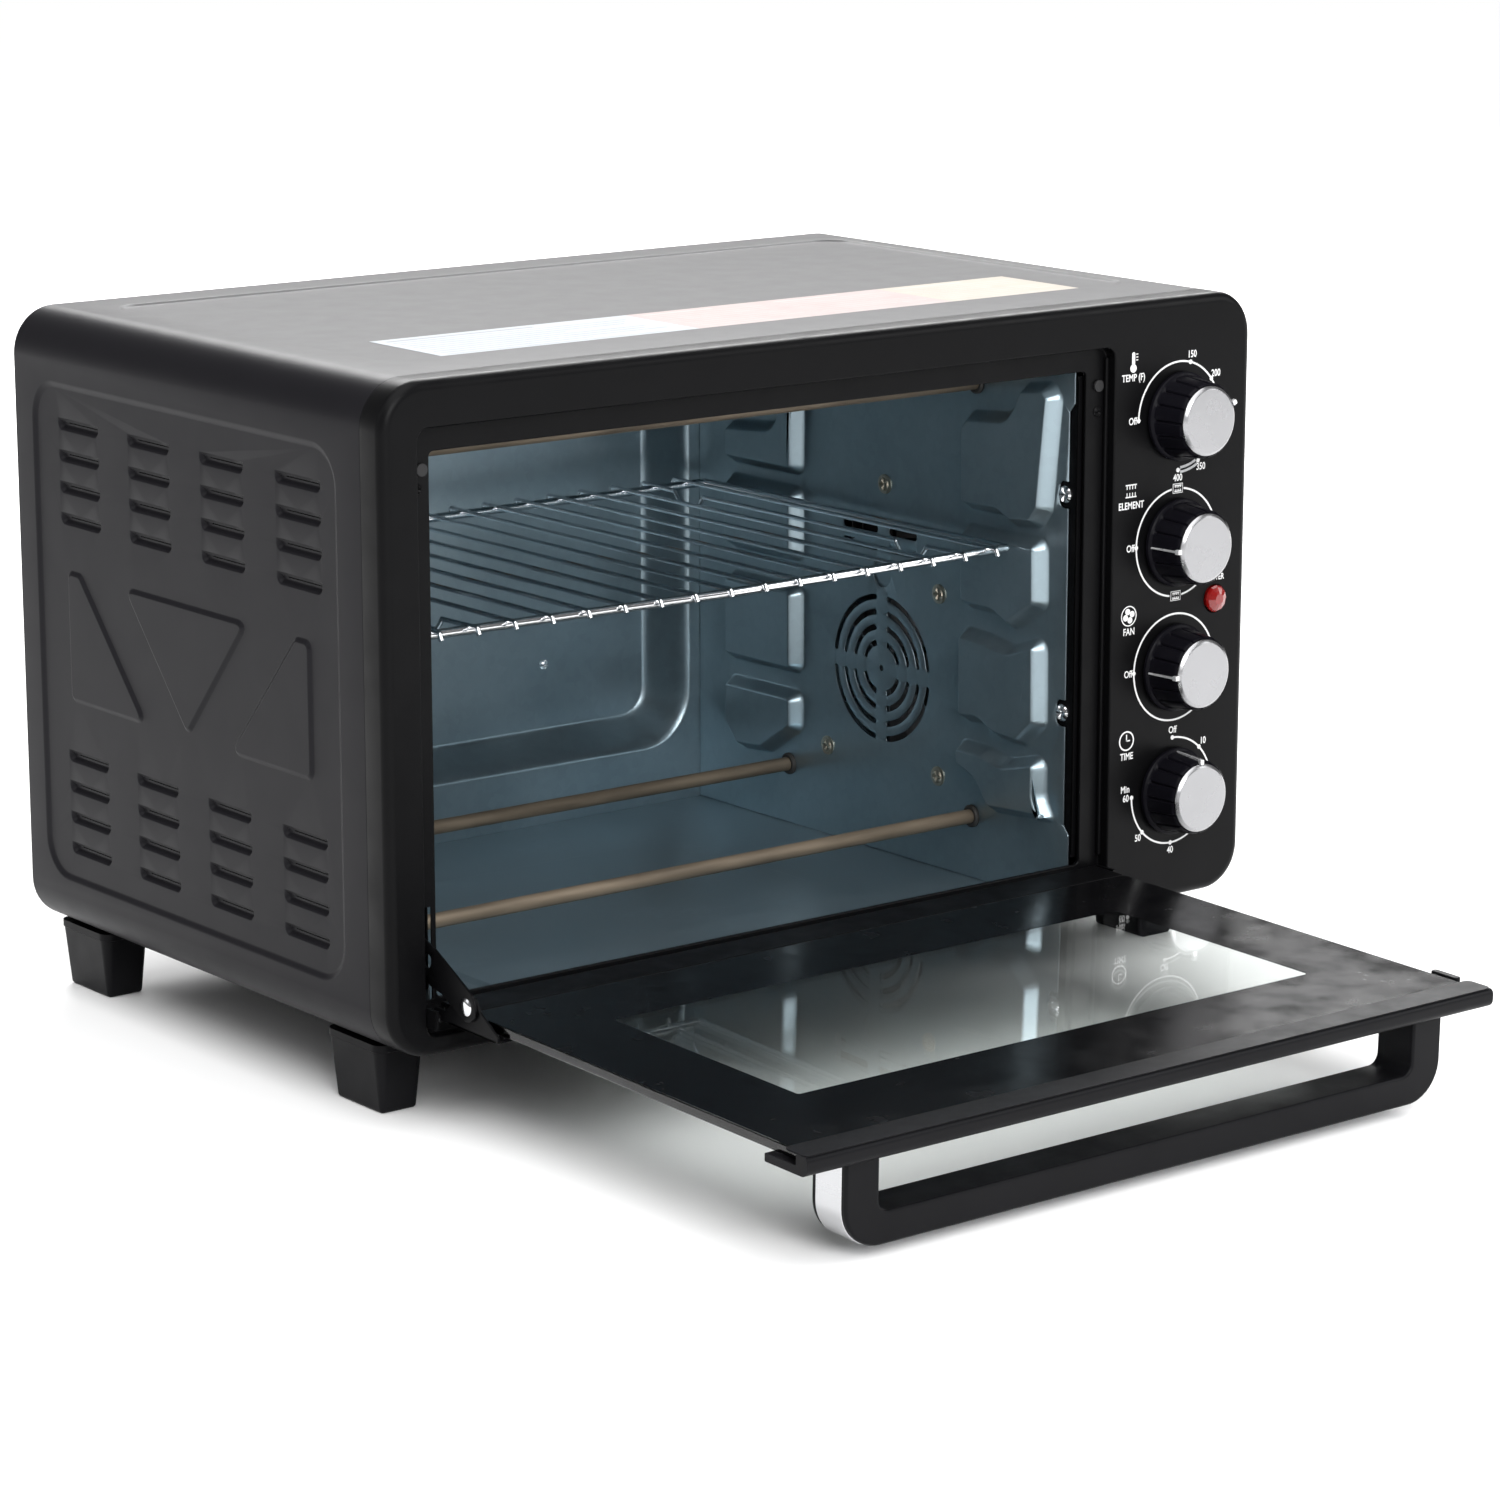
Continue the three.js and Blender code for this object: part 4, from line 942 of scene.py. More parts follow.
# ---- front and controls -----------------------------------------------------
@dataclass
class FrontFrame:
    """Black pressed front: rounded edges, the door recess and the oven mouth."""

    radius: float = 20.0
    edge: float = 4.5
    recess_x: Point = (-218.5, 153.0)
    recess_z: Point = (38.0, 287.6)
    recess_radius: float = 6.0
    recess_depth: float = 6.0
    crease: float = 0.9
    mouth_x: Point = (-209.0, 141.0)
    mouth_z: Point = (52.5, 277.0)
    mouth_radius: float = 3.0
    mouth_bend: float = 0.6
    mouth_lip: float = 2.0
    link_slot_x: Point = (-216.4, -210.6)
    link_slot_z: Point = (52.6, 91.5)
    lamp: Point = (215.4, 166.9)
    lamp_radius: float = 6.0
    lamp_gap: float = 0.9
    lamp_bend: float = 0.5
    stop_x: Point = (150.2, 152.2)
    stop_z: Point = (56.0, 282.0)
    stop_rise: float = 2.2
    screws: tuple[tuple[float, float, float], ...] = (
        (-214.2, 49.0, 2.6), (142.0, 44.0, 2.6), (-214.6, 262.0, 2.4), (147.0, 258.0, 2.4),
    )
    wall: float = 1.0
    box: Box = field(default_factory=lambda: Box.of("front_frame"))

    def pressing(self) -> Sheet:
        """The pressed face, drawn on X and Z from its rear rim."""
        b = self.box
        deep = b.y1 - b.y0
        low = deep - self.recess_depth
        drawn = Sheet()
        outer = drawn.outline(rectangle(b.x0, b.x1, b.z0, b.z1), self.radius, steps=10)
        outer = drawn.press(outer, [(0.0, deep - self.edge), *reversed(fillet(self.edge, 6, 1.0))])
        drawn.open(outer)
        crease = self.crease
        fall = self.recess_depth - 2 * crease
        recess = drawn.outline(rectangle(*self.recess_x, *self.recess_z), self.recess_radius, deep, steps=6)
        recess = drawn.press(
            recess, [*fillet(crease, 4), (0.0, -fall), *reversed(fillet(crease, 4))],
        )
        drawn.open(recess)
        mouth = drawn.outline(rectangle(*self.mouth_x, *self.mouth_z), self.mouth_radius, low)
        bend = self.mouth_bend
        drawn.open(drawn.press(mouth, [*fillet(bend, 3), (0.0, -self.mouth_lip + bend)]))
        drawn.hole(rectangle(*self.link_slot_x, *self.link_slot_z), 0.8, low)
        lamp = drawn.disc(self.lamp, self.lamp_radius + self.lamp_gap, deep, 32)
        drawn.open(drawn.press(lamp, fillet(self.lamp_bend, 3)))
        drawn.fill(deep)
        drawn.fill(low)
        return drawn

    def build(self) -> None:
        """Makes the frame, its stop strip and its screws."""
        b = self.box
        made = Build()
        made.sheet(self.pressing(), FRONT, -b.y1)
        made.finish(
            "front_fascia", "base", [BLACK], "black_enamel", ["front_frame"], thickness=self.wall,
        )
        level = -b.y0 - self.recess_depth
        stop = Build()
        stop.prism(
            rectangle(*self.stop_x, *self.stop_z), FRONT, level, level + self.stop_rise, radius=0.9,
            edge=0.7,
        )
        stop.finish("door_stop_strip", "base", [BLACK], "black_enamel")
        screws = Build()
        for x, z, radius in self.screws:
            screws.screw((x, -level, z), (0, -1, 0), radius)
        screws.finish("recess_screws", "base", [BLACK], "black_enamel")


class Sign(Enum):
    """Small printed sign over a control."""

    HEAT = "thermometer"
    ELEMENT = "heating element"
    FAN = "fan"
    CLOCK = "clock"


@dataclass(frozen=True)
class Scale:
    """One control's print. Angles are degrees clockwise from the top."""

    knob: str
    title: str
    sign: Sign
    pointer: float
    arcs: tuple[Point, ...]
    marks: tuple[tuple[str, float], ...]
    bands: tuple[Point, ...] = ()
    plates: tuple[float, ...] = ()


SCALES = (
    Scale(
        "temperature", "TEMP (F)", Sign.HEAT, 65.0, ((270, 425), (510, 540)),
        (("Off", 270), ("150", 375), ("200", 412), ("250", 450), ("300", 478), ("350", 510), ("400", 540)),
        bands=((510, 540),),
    ),
    Scale("element", "ELEMENT", Sign.ELEMENT, 270.0, ((0, 360),), (("Off", 270),), plates=(0, 180)),
    Scale("fan", "FAN", Sign.FAN, 270.0, ((0, 360),), (("Off", 270),)),
    Scale(
        "timer", "TIME", Sign.CLOCK, 0.0, ((0, 270),),
        (("Off", 0), ("10", 43), ("20", 90), ("30", 135), ("40", 180), ("50", 226), ("60", 270)),
    ),
)


@dataclass
class Dial:
    """A printed scale with its numbers and its sign, and the knob over it."""

    scale: Scale
    ring_radius: float = 24.5
    ring_width: float = 0.85
    dot_radius: float = 1.05
    label_radius: float = 28.0
    label_size: float = 4.5
    title_offset: Point = (-28.0, 19.5)
    sign_offset: Point = (-28.2, 26.8)
    film: float = 0.06
    steps: int = 144
    grooves: int = 16
    groove_depth: float = 0.8
    skirt_radius: float = 20.0
    end_radius: float = 16.8
    length: float = 18.0
    cap_radius: float = 15.9
    cap_rise: float = 1.5

    @property
    def centre(self) -> Point:
        """Knob axis on X and Z."""
        middle = Box.of("knob_" + self.scale.knob).middle
        return middle.x, middle.z

    def at(self, radius: float, clockwise: float) -> Point:
        """A place on the panel at a radius and an angle round the knob."""
        angle = math.radians(clockwise)
        x, z = self.centre
        return x + radius * math.sin(angle), z + radius * math.cos(angle)

    def arc(self, made: Build, radius: float, width: float, span: Point, finish: int = 0) -> None:
        """A printed arc between two clockwise angles."""
        made.ring(
            self.centre, radius, width, math.radians(90 - span[1]), math.radians(span[1] - span[0]),
            FRONT, PANEL, self.film, finish,
        )

    def sign(self, made: Build) -> None:
        """Draws the sign."""
        x, z = self.centre[0] + self.sign_offset[0], self.centre[1] + self.sign_offset[1]
        low, high = PANEL, PANEL + self.film
        if self.scale.sign is Sign.HEAT:
            made.prism(rectangle(x - 0.9, x + 0.9, z - 2.0, z + 4.2), FRONT, low, high, radius=0.85)
            made.disc((x, z - 3.0), 1.9, FRONT, low, self.film)
            for rise in (0.6, 1.9, 3.2):
                made.prism(rectangle(x + 1.5, x + 2.7, z + rise - 0.2, z + rise + 0.2), FRONT, low, high)
        elif self.scale.sign is Sign.ELEMENT:
            self.grid(made, (x, z - 0.6), 6.6, 5.4)
        elif self.scale.sign is Sign.FAN:
            made.ring((x, z), 4.4, 0.5, 0.0, 2 * math.pi, FRONT, low, self.film)
            for blade in range(4):
                angle = math.radians(90 * blade + 20)
                made.disc((x + 2.1 * math.cos(angle), z + 2.1 * math.sin(angle)), 1.45, FRONT, low, self.film)
        else:
            made.ring((x, z), 4.2, 0.7, 0.0, 2 * math.pi, FRONT, low, self.film)
            made.prism(rectangle(x - 0.3, x + 0.3, z - 0.2, z + 2.9), FRONT, low, high)
            made.prism(rectangle(x - 0.3, x + 2.1, z - 0.3, z + 0.3), FRONT, low, high)

    def grid(self, made: Build, centre: Point, width: float, height: float, films: int = 1) -> None:
        """Two heating bars with short strokes between them."""
        x, z = centre
        low, high = PANEL, PANEL + films * self.film
        for side in (-1, 1):
            level = z + side * height / 2
            made.prism(
                rectangle(x - width / 2, x + width / 2, level - 0.28, level + 0.28), FRONT, low, high,
            )
            for stroke in range(4):
                place = x + (stroke - 1.5) * width / 4
                foot = level - side * height * 0.36
                made.prism(
                    rectangle(place - 0.22, place + 0.22, min(level, foot), max(level, foot)),
                    FRONT, low, high,
                )

    def print_scale(self) -> None:
        """Makes the white print on the panel."""
        made = Build()
        for span in self.scale.arcs:
            self.arc(made, self.ring_radius, self.ring_width, span)
        for span in self.scale.bands:
            self.arc(made, self.ring_radius, 3.2, (span[0] + 3, span[1] - 3), finish=1)
        for text, angle in self.scale.marks:
            made.disc(self.at(self.ring_radius, angle), self.dot_radius, FRONT, PANEL, 1.5 * self.film)
            made.lettering(
                text, self.label_size, *self.at(self.label_radius, angle), FRONT, PANEL + self.film / 2,
                self.film,
            )
        for angle in self.scale.plates:
            centre = self.at(self.ring_radius, angle)
            for half_x, half_z, film, finish in ((3.6, 2.5, 2, 2), (3.0, 2.2, 3, 0), (2.7, 1.9, 4, 2)):
                made.prism(
                    rectangle(centre[0] - half_x, centre[0] + half_x, centre[1] - half_z, centre[1] + half_z),
                    FRONT, PANEL, PANEL + film * self.film, finish=finish,
                )
            self.grid(made, centre, 4.2, 2.6, 5)
        x, z = self.centre
        made.lettering(
            self.scale.title, self.label_size, x + self.title_offset[0], z + self.title_offset[1],
            FRONT, PANEL + self.film / 2, self.film,
        )
        if self.scale.knob == "timer":
            made.lettering(
                "Min", self.label_size, x - self.label_radius - 0.5, z + 4.2, FRONT,
                PANEL + self.film / 2, self.film,
            )
        self.sign(made)
        made.finish(
            "print_" + self.scale.knob, "base", [WHITE_PRINT, GREY_PRINT, BLACK], "black_enamel",
        )

    def knob(self) -> None:
        """Makes the grooved knob, its bright cap and its pointer."""
        name = self.scale.knob
        x, z = self.centre
        back = Box.of("knob_" + name).y0 + self.length
        profile = [
            (0.0, -22.0), (3.0, -22.0), (3.0, 0.0), (self.skirt_radius - 0.6, 0.0),
            (self.skirt_radius, 0.5), (self.skirt_radius, 1.9), (self.skirt_radius - 0.5, 2.5),
            (self.skirt_radius - 1.4, 2.8), (self.skirt_radius - 1.7, 3.6),
            (self.end_radius + 0.15, self.length - 1.6), (self.end_radius - 0.2, self.length - 0.6),
            (self.end_radius - 0.8, self.length), (self.cap_radius - 0.2, self.length - 0.2),
            (self.cap_radius - 0.3, self.length - 1.2), (0.0, self.length - 1.2),
        ]
        body = Build()
        body.turned(profile, (x, back, z), (0, -1, 0), self.steps)
        per_groove = self.steps // self.grooves
        for v in body.bm.verts:
            out = Vector((v.co.x - x, v.co.z - z))
            along = back - v.co.y
            if 3.2 < along < self.length - 0.3 and out.length > self.end_radius - 0.5:
                step = round(math.atan2(out.y, out.x) / (2 * math.pi) * self.steps)
                if step % per_groove == 0:
                    v.co.x -= out.x / out.length * self.groove_depth
                    v.co.z -= out.y / out.length * self.groove_depth
        body.finish(
            "knob_body_" + name, "knob_" + name, [KNOB_PLASTIC], "black_plastic", ["knob_" + name],
        )
        face = self.length + self.cap_rise
        cap = Build()
        cap.turned(
            [
                (0.0, self.length - 1.1), (self.cap_radius - 0.5, self.length - 1.1),
                (self.cap_radius - 0.3, self.length + 0.2), (self.cap_radius - 0.55, self.length + 0.55),
                (self.cap_radius - 1.6, face - 0.1), (self.cap_radius - 1.9, face), (0.0, face),
            ],
            (x, back, z), (0, -1, 0), 96,
        )
        spun = Spun(
            "spun_cap_" + name, (0.36, 0.36, 0.37), 0.27, metallic=1.0, grain=2200, bump=0.03,
            mottle=0.02, swing=0.02, centre=self.centre,
        )
        cap.finish(
            "knob_face_" + name, "knob_" + name, [spun], "brushed_trim", ["knob_cap_" + name], smooth=24,
        )
        self.pointer_rib(back)

    def pointer_rib(self, back: float) -> None:
        """A bright raised line from the skirt to the cap."""
        name = self.scale.knob
        x, z = self.centre
        rib = Build()
        low, high = self.skirt_radius - 1.9, self.end_radius - 0.1
        turn = Matrix.Rotation(math.radians(self.scale.pointer), 4, (0, 1, 0))
        turn = Matrix.Translation((x, back, z)) @ turn
        side = Plane((0, -1, 0), (0, 0, 1), (-1, 0, 0))
        end = self.length + 0.2
        rib.prism(
            [(2.2, low + 0.1), (2.2, low + 0.9), (end, high + 1.1), (end, high - 1.0)],
            side, -0.42, 0.42, edge=0.15, place=turn,
        )
        rib.prism(
            [(self.length - 0.8, high - 0.9), (self.length - 0.8, high + 1.2),
             (self.length + 1.2, high + 0.9), (self.length + 1.2, high - 1.2)],
            side, -1.1, 1.1, edge=0.3, place=turn,
        )
        rib.finish("pointer_" + name, "knob_" + name, [POINTER], "brushed_trim")

    def build(self) -> None:
        """Makes the scale and its knob."""
        self.print_scale()
        self.knob()


@dataclass
class Lamp:
    """Faceted red lamp with its printed word."""

    radius: float = 6.2
    rise: float = 3.4
    word_size: float = 3.9
    word_rise: float = 9.6
    film: float = 0.06

    def build(self) -> None:
        """Makes the lamp."""
        middle = Box.of("indicator_lens").middle
        lens = Build()
        lens.turned(
            [
                (0.0, -3.0), (self.radius - 0.6, -3.0), (self.radius - 0.6, 0.0), (self.radius, 0.2),
                (self.radius, 1.0), (self.radius - 0.7, 1.9), (self.radius - 2.2, self.rise - 0.7),
                (self.radius - 3.8, self.rise), (0.0, self.rise),
            ],
            (middle.x, -PANEL, middle.z), (0, -1, 0), 12,
        )
        lens.finish("lamp_lens", "base", [RED], "red_lens", ["indicator_lens"], smooth=12)
        word = Build()
        word.lettering(
            "POWER", self.word_size, middle.x, middle.z + self.word_rise, FRONT, PANEL + self.film / 2,
            self.film,
        )
        word.finish("print_lamp", "base", [WHITE_PRINT], "black_enamel")


# ---- cavity -----------------------------------------------------------------
def grown(corners: Sequence[Point], amount: float) -> list[Point]:
    """An outline moved outwards by the same amount along every edge."""
    places = [Vector(corner) for corner in corners]
    count = len(places)
    area = sum(places[i - 1].cross(places[i]) for i in range(count))
    side = 1.0 if area > 0 else -1.0
    moved = []
    for i, corner in enumerate(places):
        into = (corner - places[i - 1]).normalized()
        away = (places[(i + 1) % count] - corner).normalized()
        out_a = Vector((into.y, -into.x)) * side
        out_b = Vector((away.y, -away.x)) * side
        share = amount / (1.0 + out_a.dot(out_b))
        moved.append(tuple(corner + (out_a + out_b) * share))
    return moved


FRONT_SUPPORTS = (
    ((47.5, 244.5), (43.0, 249.0), (17.0, 251.0), (11.0, 258.0), (7.0, 266.0), (-9.0, 268.0), (-13.0, 263.5),
     (-7.5, 213.5), (-2.0, 206.0), (13.5, 204.5), (21.5, 208.5), (47.0, 208.0)),
    ((47.0, 197.0), (-5.0, 197.0), (-5.5, 169.5), (0.5, 166.0), (13.5, 157.0), (24.0, 162.0), (47.0, 162.5)),
    ((48.0, 149.0), (30.5, 148.0), (13.5, 145.5), (-5.5, 152.5), (-6.0, 115.0), (6.0, 104.5), (23.0, 105.5),
     (33.5, 110.5), (47.5, 109.0)),
    ((49.5, 96.0), (30.0, 95.5), (16.0, 92.5), (-6.5, 98.0), (-6.0, 80.5), (-11.5, 72.5), (26.0, 70.0),
     (35.0, 82.0), (48.5, 86.5)),
)
REAR_SUPPORTS = (
    ((168.5, 207.0), (221.5, 207.0), (221.5, 223.0), (184.0, 226.0), (176.0, 246.0), (168.5, 250.0)),
    ((168.5, 165.0), (221.5, 165.0), (221.5, 197.0), (168.5, 197.0)),
    ((168.5, 110.5), (221.5, 110.0), (221.5, 149.5), (168.5, 149.5)),
    ((168.5, 98.0), (168.5, 82.5), (191.5, 68.0), (211.5, 66.5), (221.5, 77.5), (221.5, 97.5)),
)


@dataclass
class LinerWall:
    """One side of the cavity, with pressed rack supports and element holes."""

    name: str
    node: str
    plane: Plane
    level: float
    vented: bool
    support_depth: float = 7.0
    support_corner: float = 6.5
    support_foot: float = 3.0
    support_wall: float = 5.6
    rods: tuple[Point, ...] = ((42.9, 62.7), (177.4, 62.7), (42.9, 264.0), (177.4, 264.0))
    rod_hole: float = 3.9
    front_edge: float = -19.2
    tab_edge: float = -22.6
    tab_z: Point = (66.0, 262.0)
    notch_z: Point = (220.7, 121.6)
    notch_half: float = 6.2
    notch_depth: float = 5.8
    notch_screw_y: float = -16.6
    flange_y: Point = (-23.6, -6.0)
    flange_z: Point = (56.0, 274.0)
    flange_gap: float = 1.1
    flange_sheet: float = 0.6
    leg: float = 12.0
    screws: tuple[Point, ...] = ((107.0, 208.8), (67.6, 162.9), (148.2, 77.0), (67.3, 76.9))
    fan: Point = (108.9, 121.2)
    rings: tuple[float, ...] = (12.2, 19.5, 26.6, 33.7)
    slot: float = 2.9
    spoke: float = 4.0
    hub_hole: float = 1.6
    drive_hole: Point = (108.9, 166.7)
    drive_radius: float = 7.0
    vent_y: tuple[Point, ...] = ((83.8, 104.5), (111.9, 137.6))
    vent_z: tuple[float, ...] = (178.5, 186.8)
    vent_half: float = 2.0
    box: Box = field(init=False)

    def __post_init__(self) -> None:
        """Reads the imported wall's box."""
        self.box = Box.of(self.node)

    def edge(self) -> tuple[list[Point], list[float]]:
        """The wall's outline and the round of each corner."""
        b = self.box
        mid, tab = self.front_edge, self.tab_edge
        corners = [(b.y1, b.z0), (b.y1, b.z1), (tab, b.z1), (tab, self.tab_z[1]), (mid, self.tab_z[1] - 4.0)]
        radii = [0.0, 0.0, 1.0, 1.0, 1.0]
        half, deep = self.notch_half, mid + self.notch_depth
        for z in self.notch_z:
            corners += [(mid, z + half), (deep, z + half), (deep, z - half), (mid, z - half)]
            radii += [0.0, 5.6, 5.6, 0.0]
        corners += [(mid, self.tab_z[0] + 4.0), (tab, self.tab_z[0]), (tab, b.z0)]
        radii += [1.0, 1.0, 1.0]
        return corners, radii

    def pressing(self) -> Sheet:
        """The wall, drawn on Y and Z."""
        drawn = Sheet()
        drawn.border(*self.edge())
        for corners in (*FRONT_SUPPORTS, *REAR_SUPPORTS):
            base = drawn.outline(grown(corners, self.support_foot), self.support_corner, steps=6)
            drawn.swell(base, self.support_wall, self.support_depth)
        for y, z in self.rods:
            drawn.open(drawn.press(drawn.disc((y, z), self.rod_hole + 0.8, 0.0, 24), fillet(0.5, 2)))
        if self.vented:
            for radius in self.rings:
                clear = (self.spoke + self.slot) / 2 / radius
                for quarter in range(4):
                    start = quarter * math.pi / 2 + clear
                    drawn.arc_slot(self.fan, radius, self.slot, start, start + math.pi / 2 - 2 * clear)
            drawn.open(drawn.disc(self.fan, self.hub_hole, 0.0, 12))
            drawn.open(drawn.disc(self.drive_hole, self.drive_radius, 0.0, 28))
            for y0, y1 in self.vent_y:
                for z in self.vent_z:
                    drawn.hole(rectangle(y0, y1, z - self.vent_half, z + self.vent_half), 1.7)
        drawn.fill(0.0)
        return drawn

    def build(self) -> None:
        """Makes the wall with its screws."""
        made = Build()
        made.sheet(self.pressing(), self.plane, self.level)
        made.finish(self.name, "base", [ZINC], "zinc_steel", [self.node], thickness=1.0, smooth=50)
        inward = self.plane.out[0]
        x = self.level * inward
        screws = Build()
        for y, z in self.screws:
            screws.screw((x, y, z), self.plane.out, 3.5)
            screws.turned(
                [(0.0, 0.0), (4.6, 0.0), (4.6, 0.5), (4.1, 0.7), (0.0, 0.7)], (x, y, z), self.plane.out, 24,
            )
        for z in self.notch_z:
            place = (x - self.flange_gap * inward, self.notch_screw_y, z)
            screws.screw(place, self.plane.out, 4.0, finish=1)
        screws.finish(self.name + "_screws", "base", [DULL_BRASS, CHROME], "chrome_wire")
        flange = Build()
        outer = self.level - self.flange_gap
        flange.prism(
            rectangle(*self.flange_y, *self.flange_z), self.plane, outer - self.flange_sheet, outer,
            radius=1.5, edge=0.15,
        )
        if self.vented:
            # an outward leg closes the gap behind the oven mouth
            reach = rectangle(x + self.flange_gap, x + self.leg, *self.flange_z)
            flange.prism(reach, FRONT, -self.flange_y[0] - 0.7, -self.flange_y[0], edge=0.15)
        flange.finish(self.name + "_flange", "base", [BLACK], "black_enamel")


@dataclass
class CavityFloor:
    """Cavity floor with a shallow pressed field, and its upright front lip."""

    field_x: Point = (-147.0, 74.0)
    field_y: Point = (-4.0, 186.0)
    field_radius: float = 26.0
    field_wall: float = 4.0
    field_rise: float = 1.6
    lip_y: Point = (-24.0, -22.9)
    lip_x: Point = (-208.7, 136.7)
    lip_top: float = 52.4
    floor_top: float = 33.2

    def build(self) -> None:
        """Makes the floor."""
        b = Box.of("cavity_floor")
        drawn = Sheet()
        drawn.border(rectangle(b.x0, b.x1, self.lip_y[1], b.y1))
        field_face = drawn.outline(rectangle(*self.field_x, *self.field_y), self.field_radius, steps=8)
        drawn.swell(field_face, self.field_wall, self.field_rise)
        drawn.fill(0.0)
        made = Build()
        made.sheet(drawn, TOP, self.floor_top)
        made.finish("oven_floor", "base", [ZINC], "zinc_steel", ["cavity_floor"], thickness=1.0)
        lip = Build()
        lip.prism(
            rectangle(*self.lip_x, self.floor_top - 1.0, self.lip_top), FRONT, -self.lip_y[1], -self.lip_y[0],
            edge=0.3,
        )
        lip.finish("floor_lip", "base", [ZINC], "zinc_steel")


@dataclass
class RearPanel:
    """Back of the body: painted outside, bare inside, pressed out behind the cavity."""

    corner: float = 18.7
    bulge_x: Point = (-204.0, 131.5)
    bulge_z: Point = (60.5, 260.0)
    bulge_radius: float = 28.0
    bulge_wall: float = 15.0
    bulge_depth: float = 21.5
    vents: int = 7
    vent_middle: float = 121.2
    vent_pitch: float = 12.0
    vent_height: float = 4.0
    vent_x: Point = (165.0, 217.0)
    gland: Point = (190.0, 62.0)
    gland_radius: float = 8.3
    panel_y: float = 248.4
    sheet: float = 1.0
    screws: tuple[Point, ...] = (
        *((x, z) for x in (-222.0, -75.0, 75.0, 222.0) for z in (44.0, 292.0)),
        *((x, z) for x in (-225.0, 225.0) for z in (120.0, 210.0)),
    )
    bulge_screw: Point = (58.0, 106.5)

    def pressing(self) -> Sheet:
        """The panel, drawn on X and Z from its inner face."""
        b = Box.of("rear_panel")
        drawn = Sheet()
        drawn.border(rectangle(b.x0, b.x1, b.z0, b.z1), self.corner)
        bulge = drawn.outline(rectangle(*self.bulge_x, *self.bulge_z), self.bulge_radius, steps=10)
        drawn.swell(bulge, self.bulge_wall, -self.bulge_depth, 10)
        for i in range(self.vents):
            z = self.vent_middle + (i - (self.vents - 1) / 2) * self.vent_pitch
            drawn.hole(rectangle(*self.vent_x, z, z + self.vent_height), 1.9)
        drawn.open(drawn.disc(self.gland, self.gland_radius, 0.0, 32))
        drawn.fill(0.0)
        return drawn

    def build(self) -> None:
        """Makes the panel with its screws."""
        made = Build()
        made.sheet(self.pressing(), FRONT, -self.panel_y)
        made.finish(
            "back_panel", "base", [ZINC, CHARCOAL], "charcoal_enamel", ["rear_panel"], smooth=50,
            thickness=self.sheet, backing=True,
        )
        screws = Build()
        for x, z in self.screws:
            screws.screw((x, self.panel_y + self.sheet, z), (0, 1, 0))
        x, z = self.bulge_screw
        screws.screw((x, self.panel_y + self.bulge_depth, z), (0, -1, 0), 2.6)
        screws.finish("rear_screws", "base", [CHROME], "chrome_wire")


@dataclass
class Elements:
    """Four straight heating rods with ceramic collars where they pass the walls."""

    radius: float = 3.3
    stub: float = 1.6
    wall_left: float = -209.5
    wall_right: float = 137.0
    shoulder: float = 12.0

    def build(self) -> None:
        """Makes the rods."""
        for end in ("lower_front", "lower_rear", "upper_front", "upper_rear"):
            node = "element_" + end
            b = Box.of(node)
            y, z = b.middle.y, b.middle.z
            long = b.x1 - b.x0
            shoulder = self.shoulder
            rod = Build()
            rod.turned(
                [
                    (0.0, 0.0), (self.stub, 0.0), (self.stub, shoulder), (self.radius - 0.4, shoulder),
                    (self.radius, shoulder + 0.5), (self.radius, long - shoulder - 0.5),
                    (self.radius - 0.4, long - shoulder), (self.stub, long - shoulder), (self.stub, long),
                    (0.0, long),
                ],
                (b.x0, y, z), (1, 0, 0), 28,
            )
            rod.finish("rod_" + end, "base", [SHEATH], "element_sheath", [node])
            collars = Build()
            for x, way in ((self.wall_right, -1), (self.wall_left, 1)):
                collars.turned(
                    [
                        (self.radius + 0.05, -2.5), (self.radius + 0.55, -2.5), (self.radius + 0.55, 0.0),
                        (self.radius + 2.0, 0.05), (self.radius + 2.0, 1.0), (self.radius + 1.2, 1.8),
                        (self.radius + 0.05, 1.8), (self.radius + 0.05, -2.5),
                    ],
                    (x, y, z), (way, 0, 0), 24,
                )
            collars.finish("collars_" + end, "base", [COLLAR], "element_sheath")


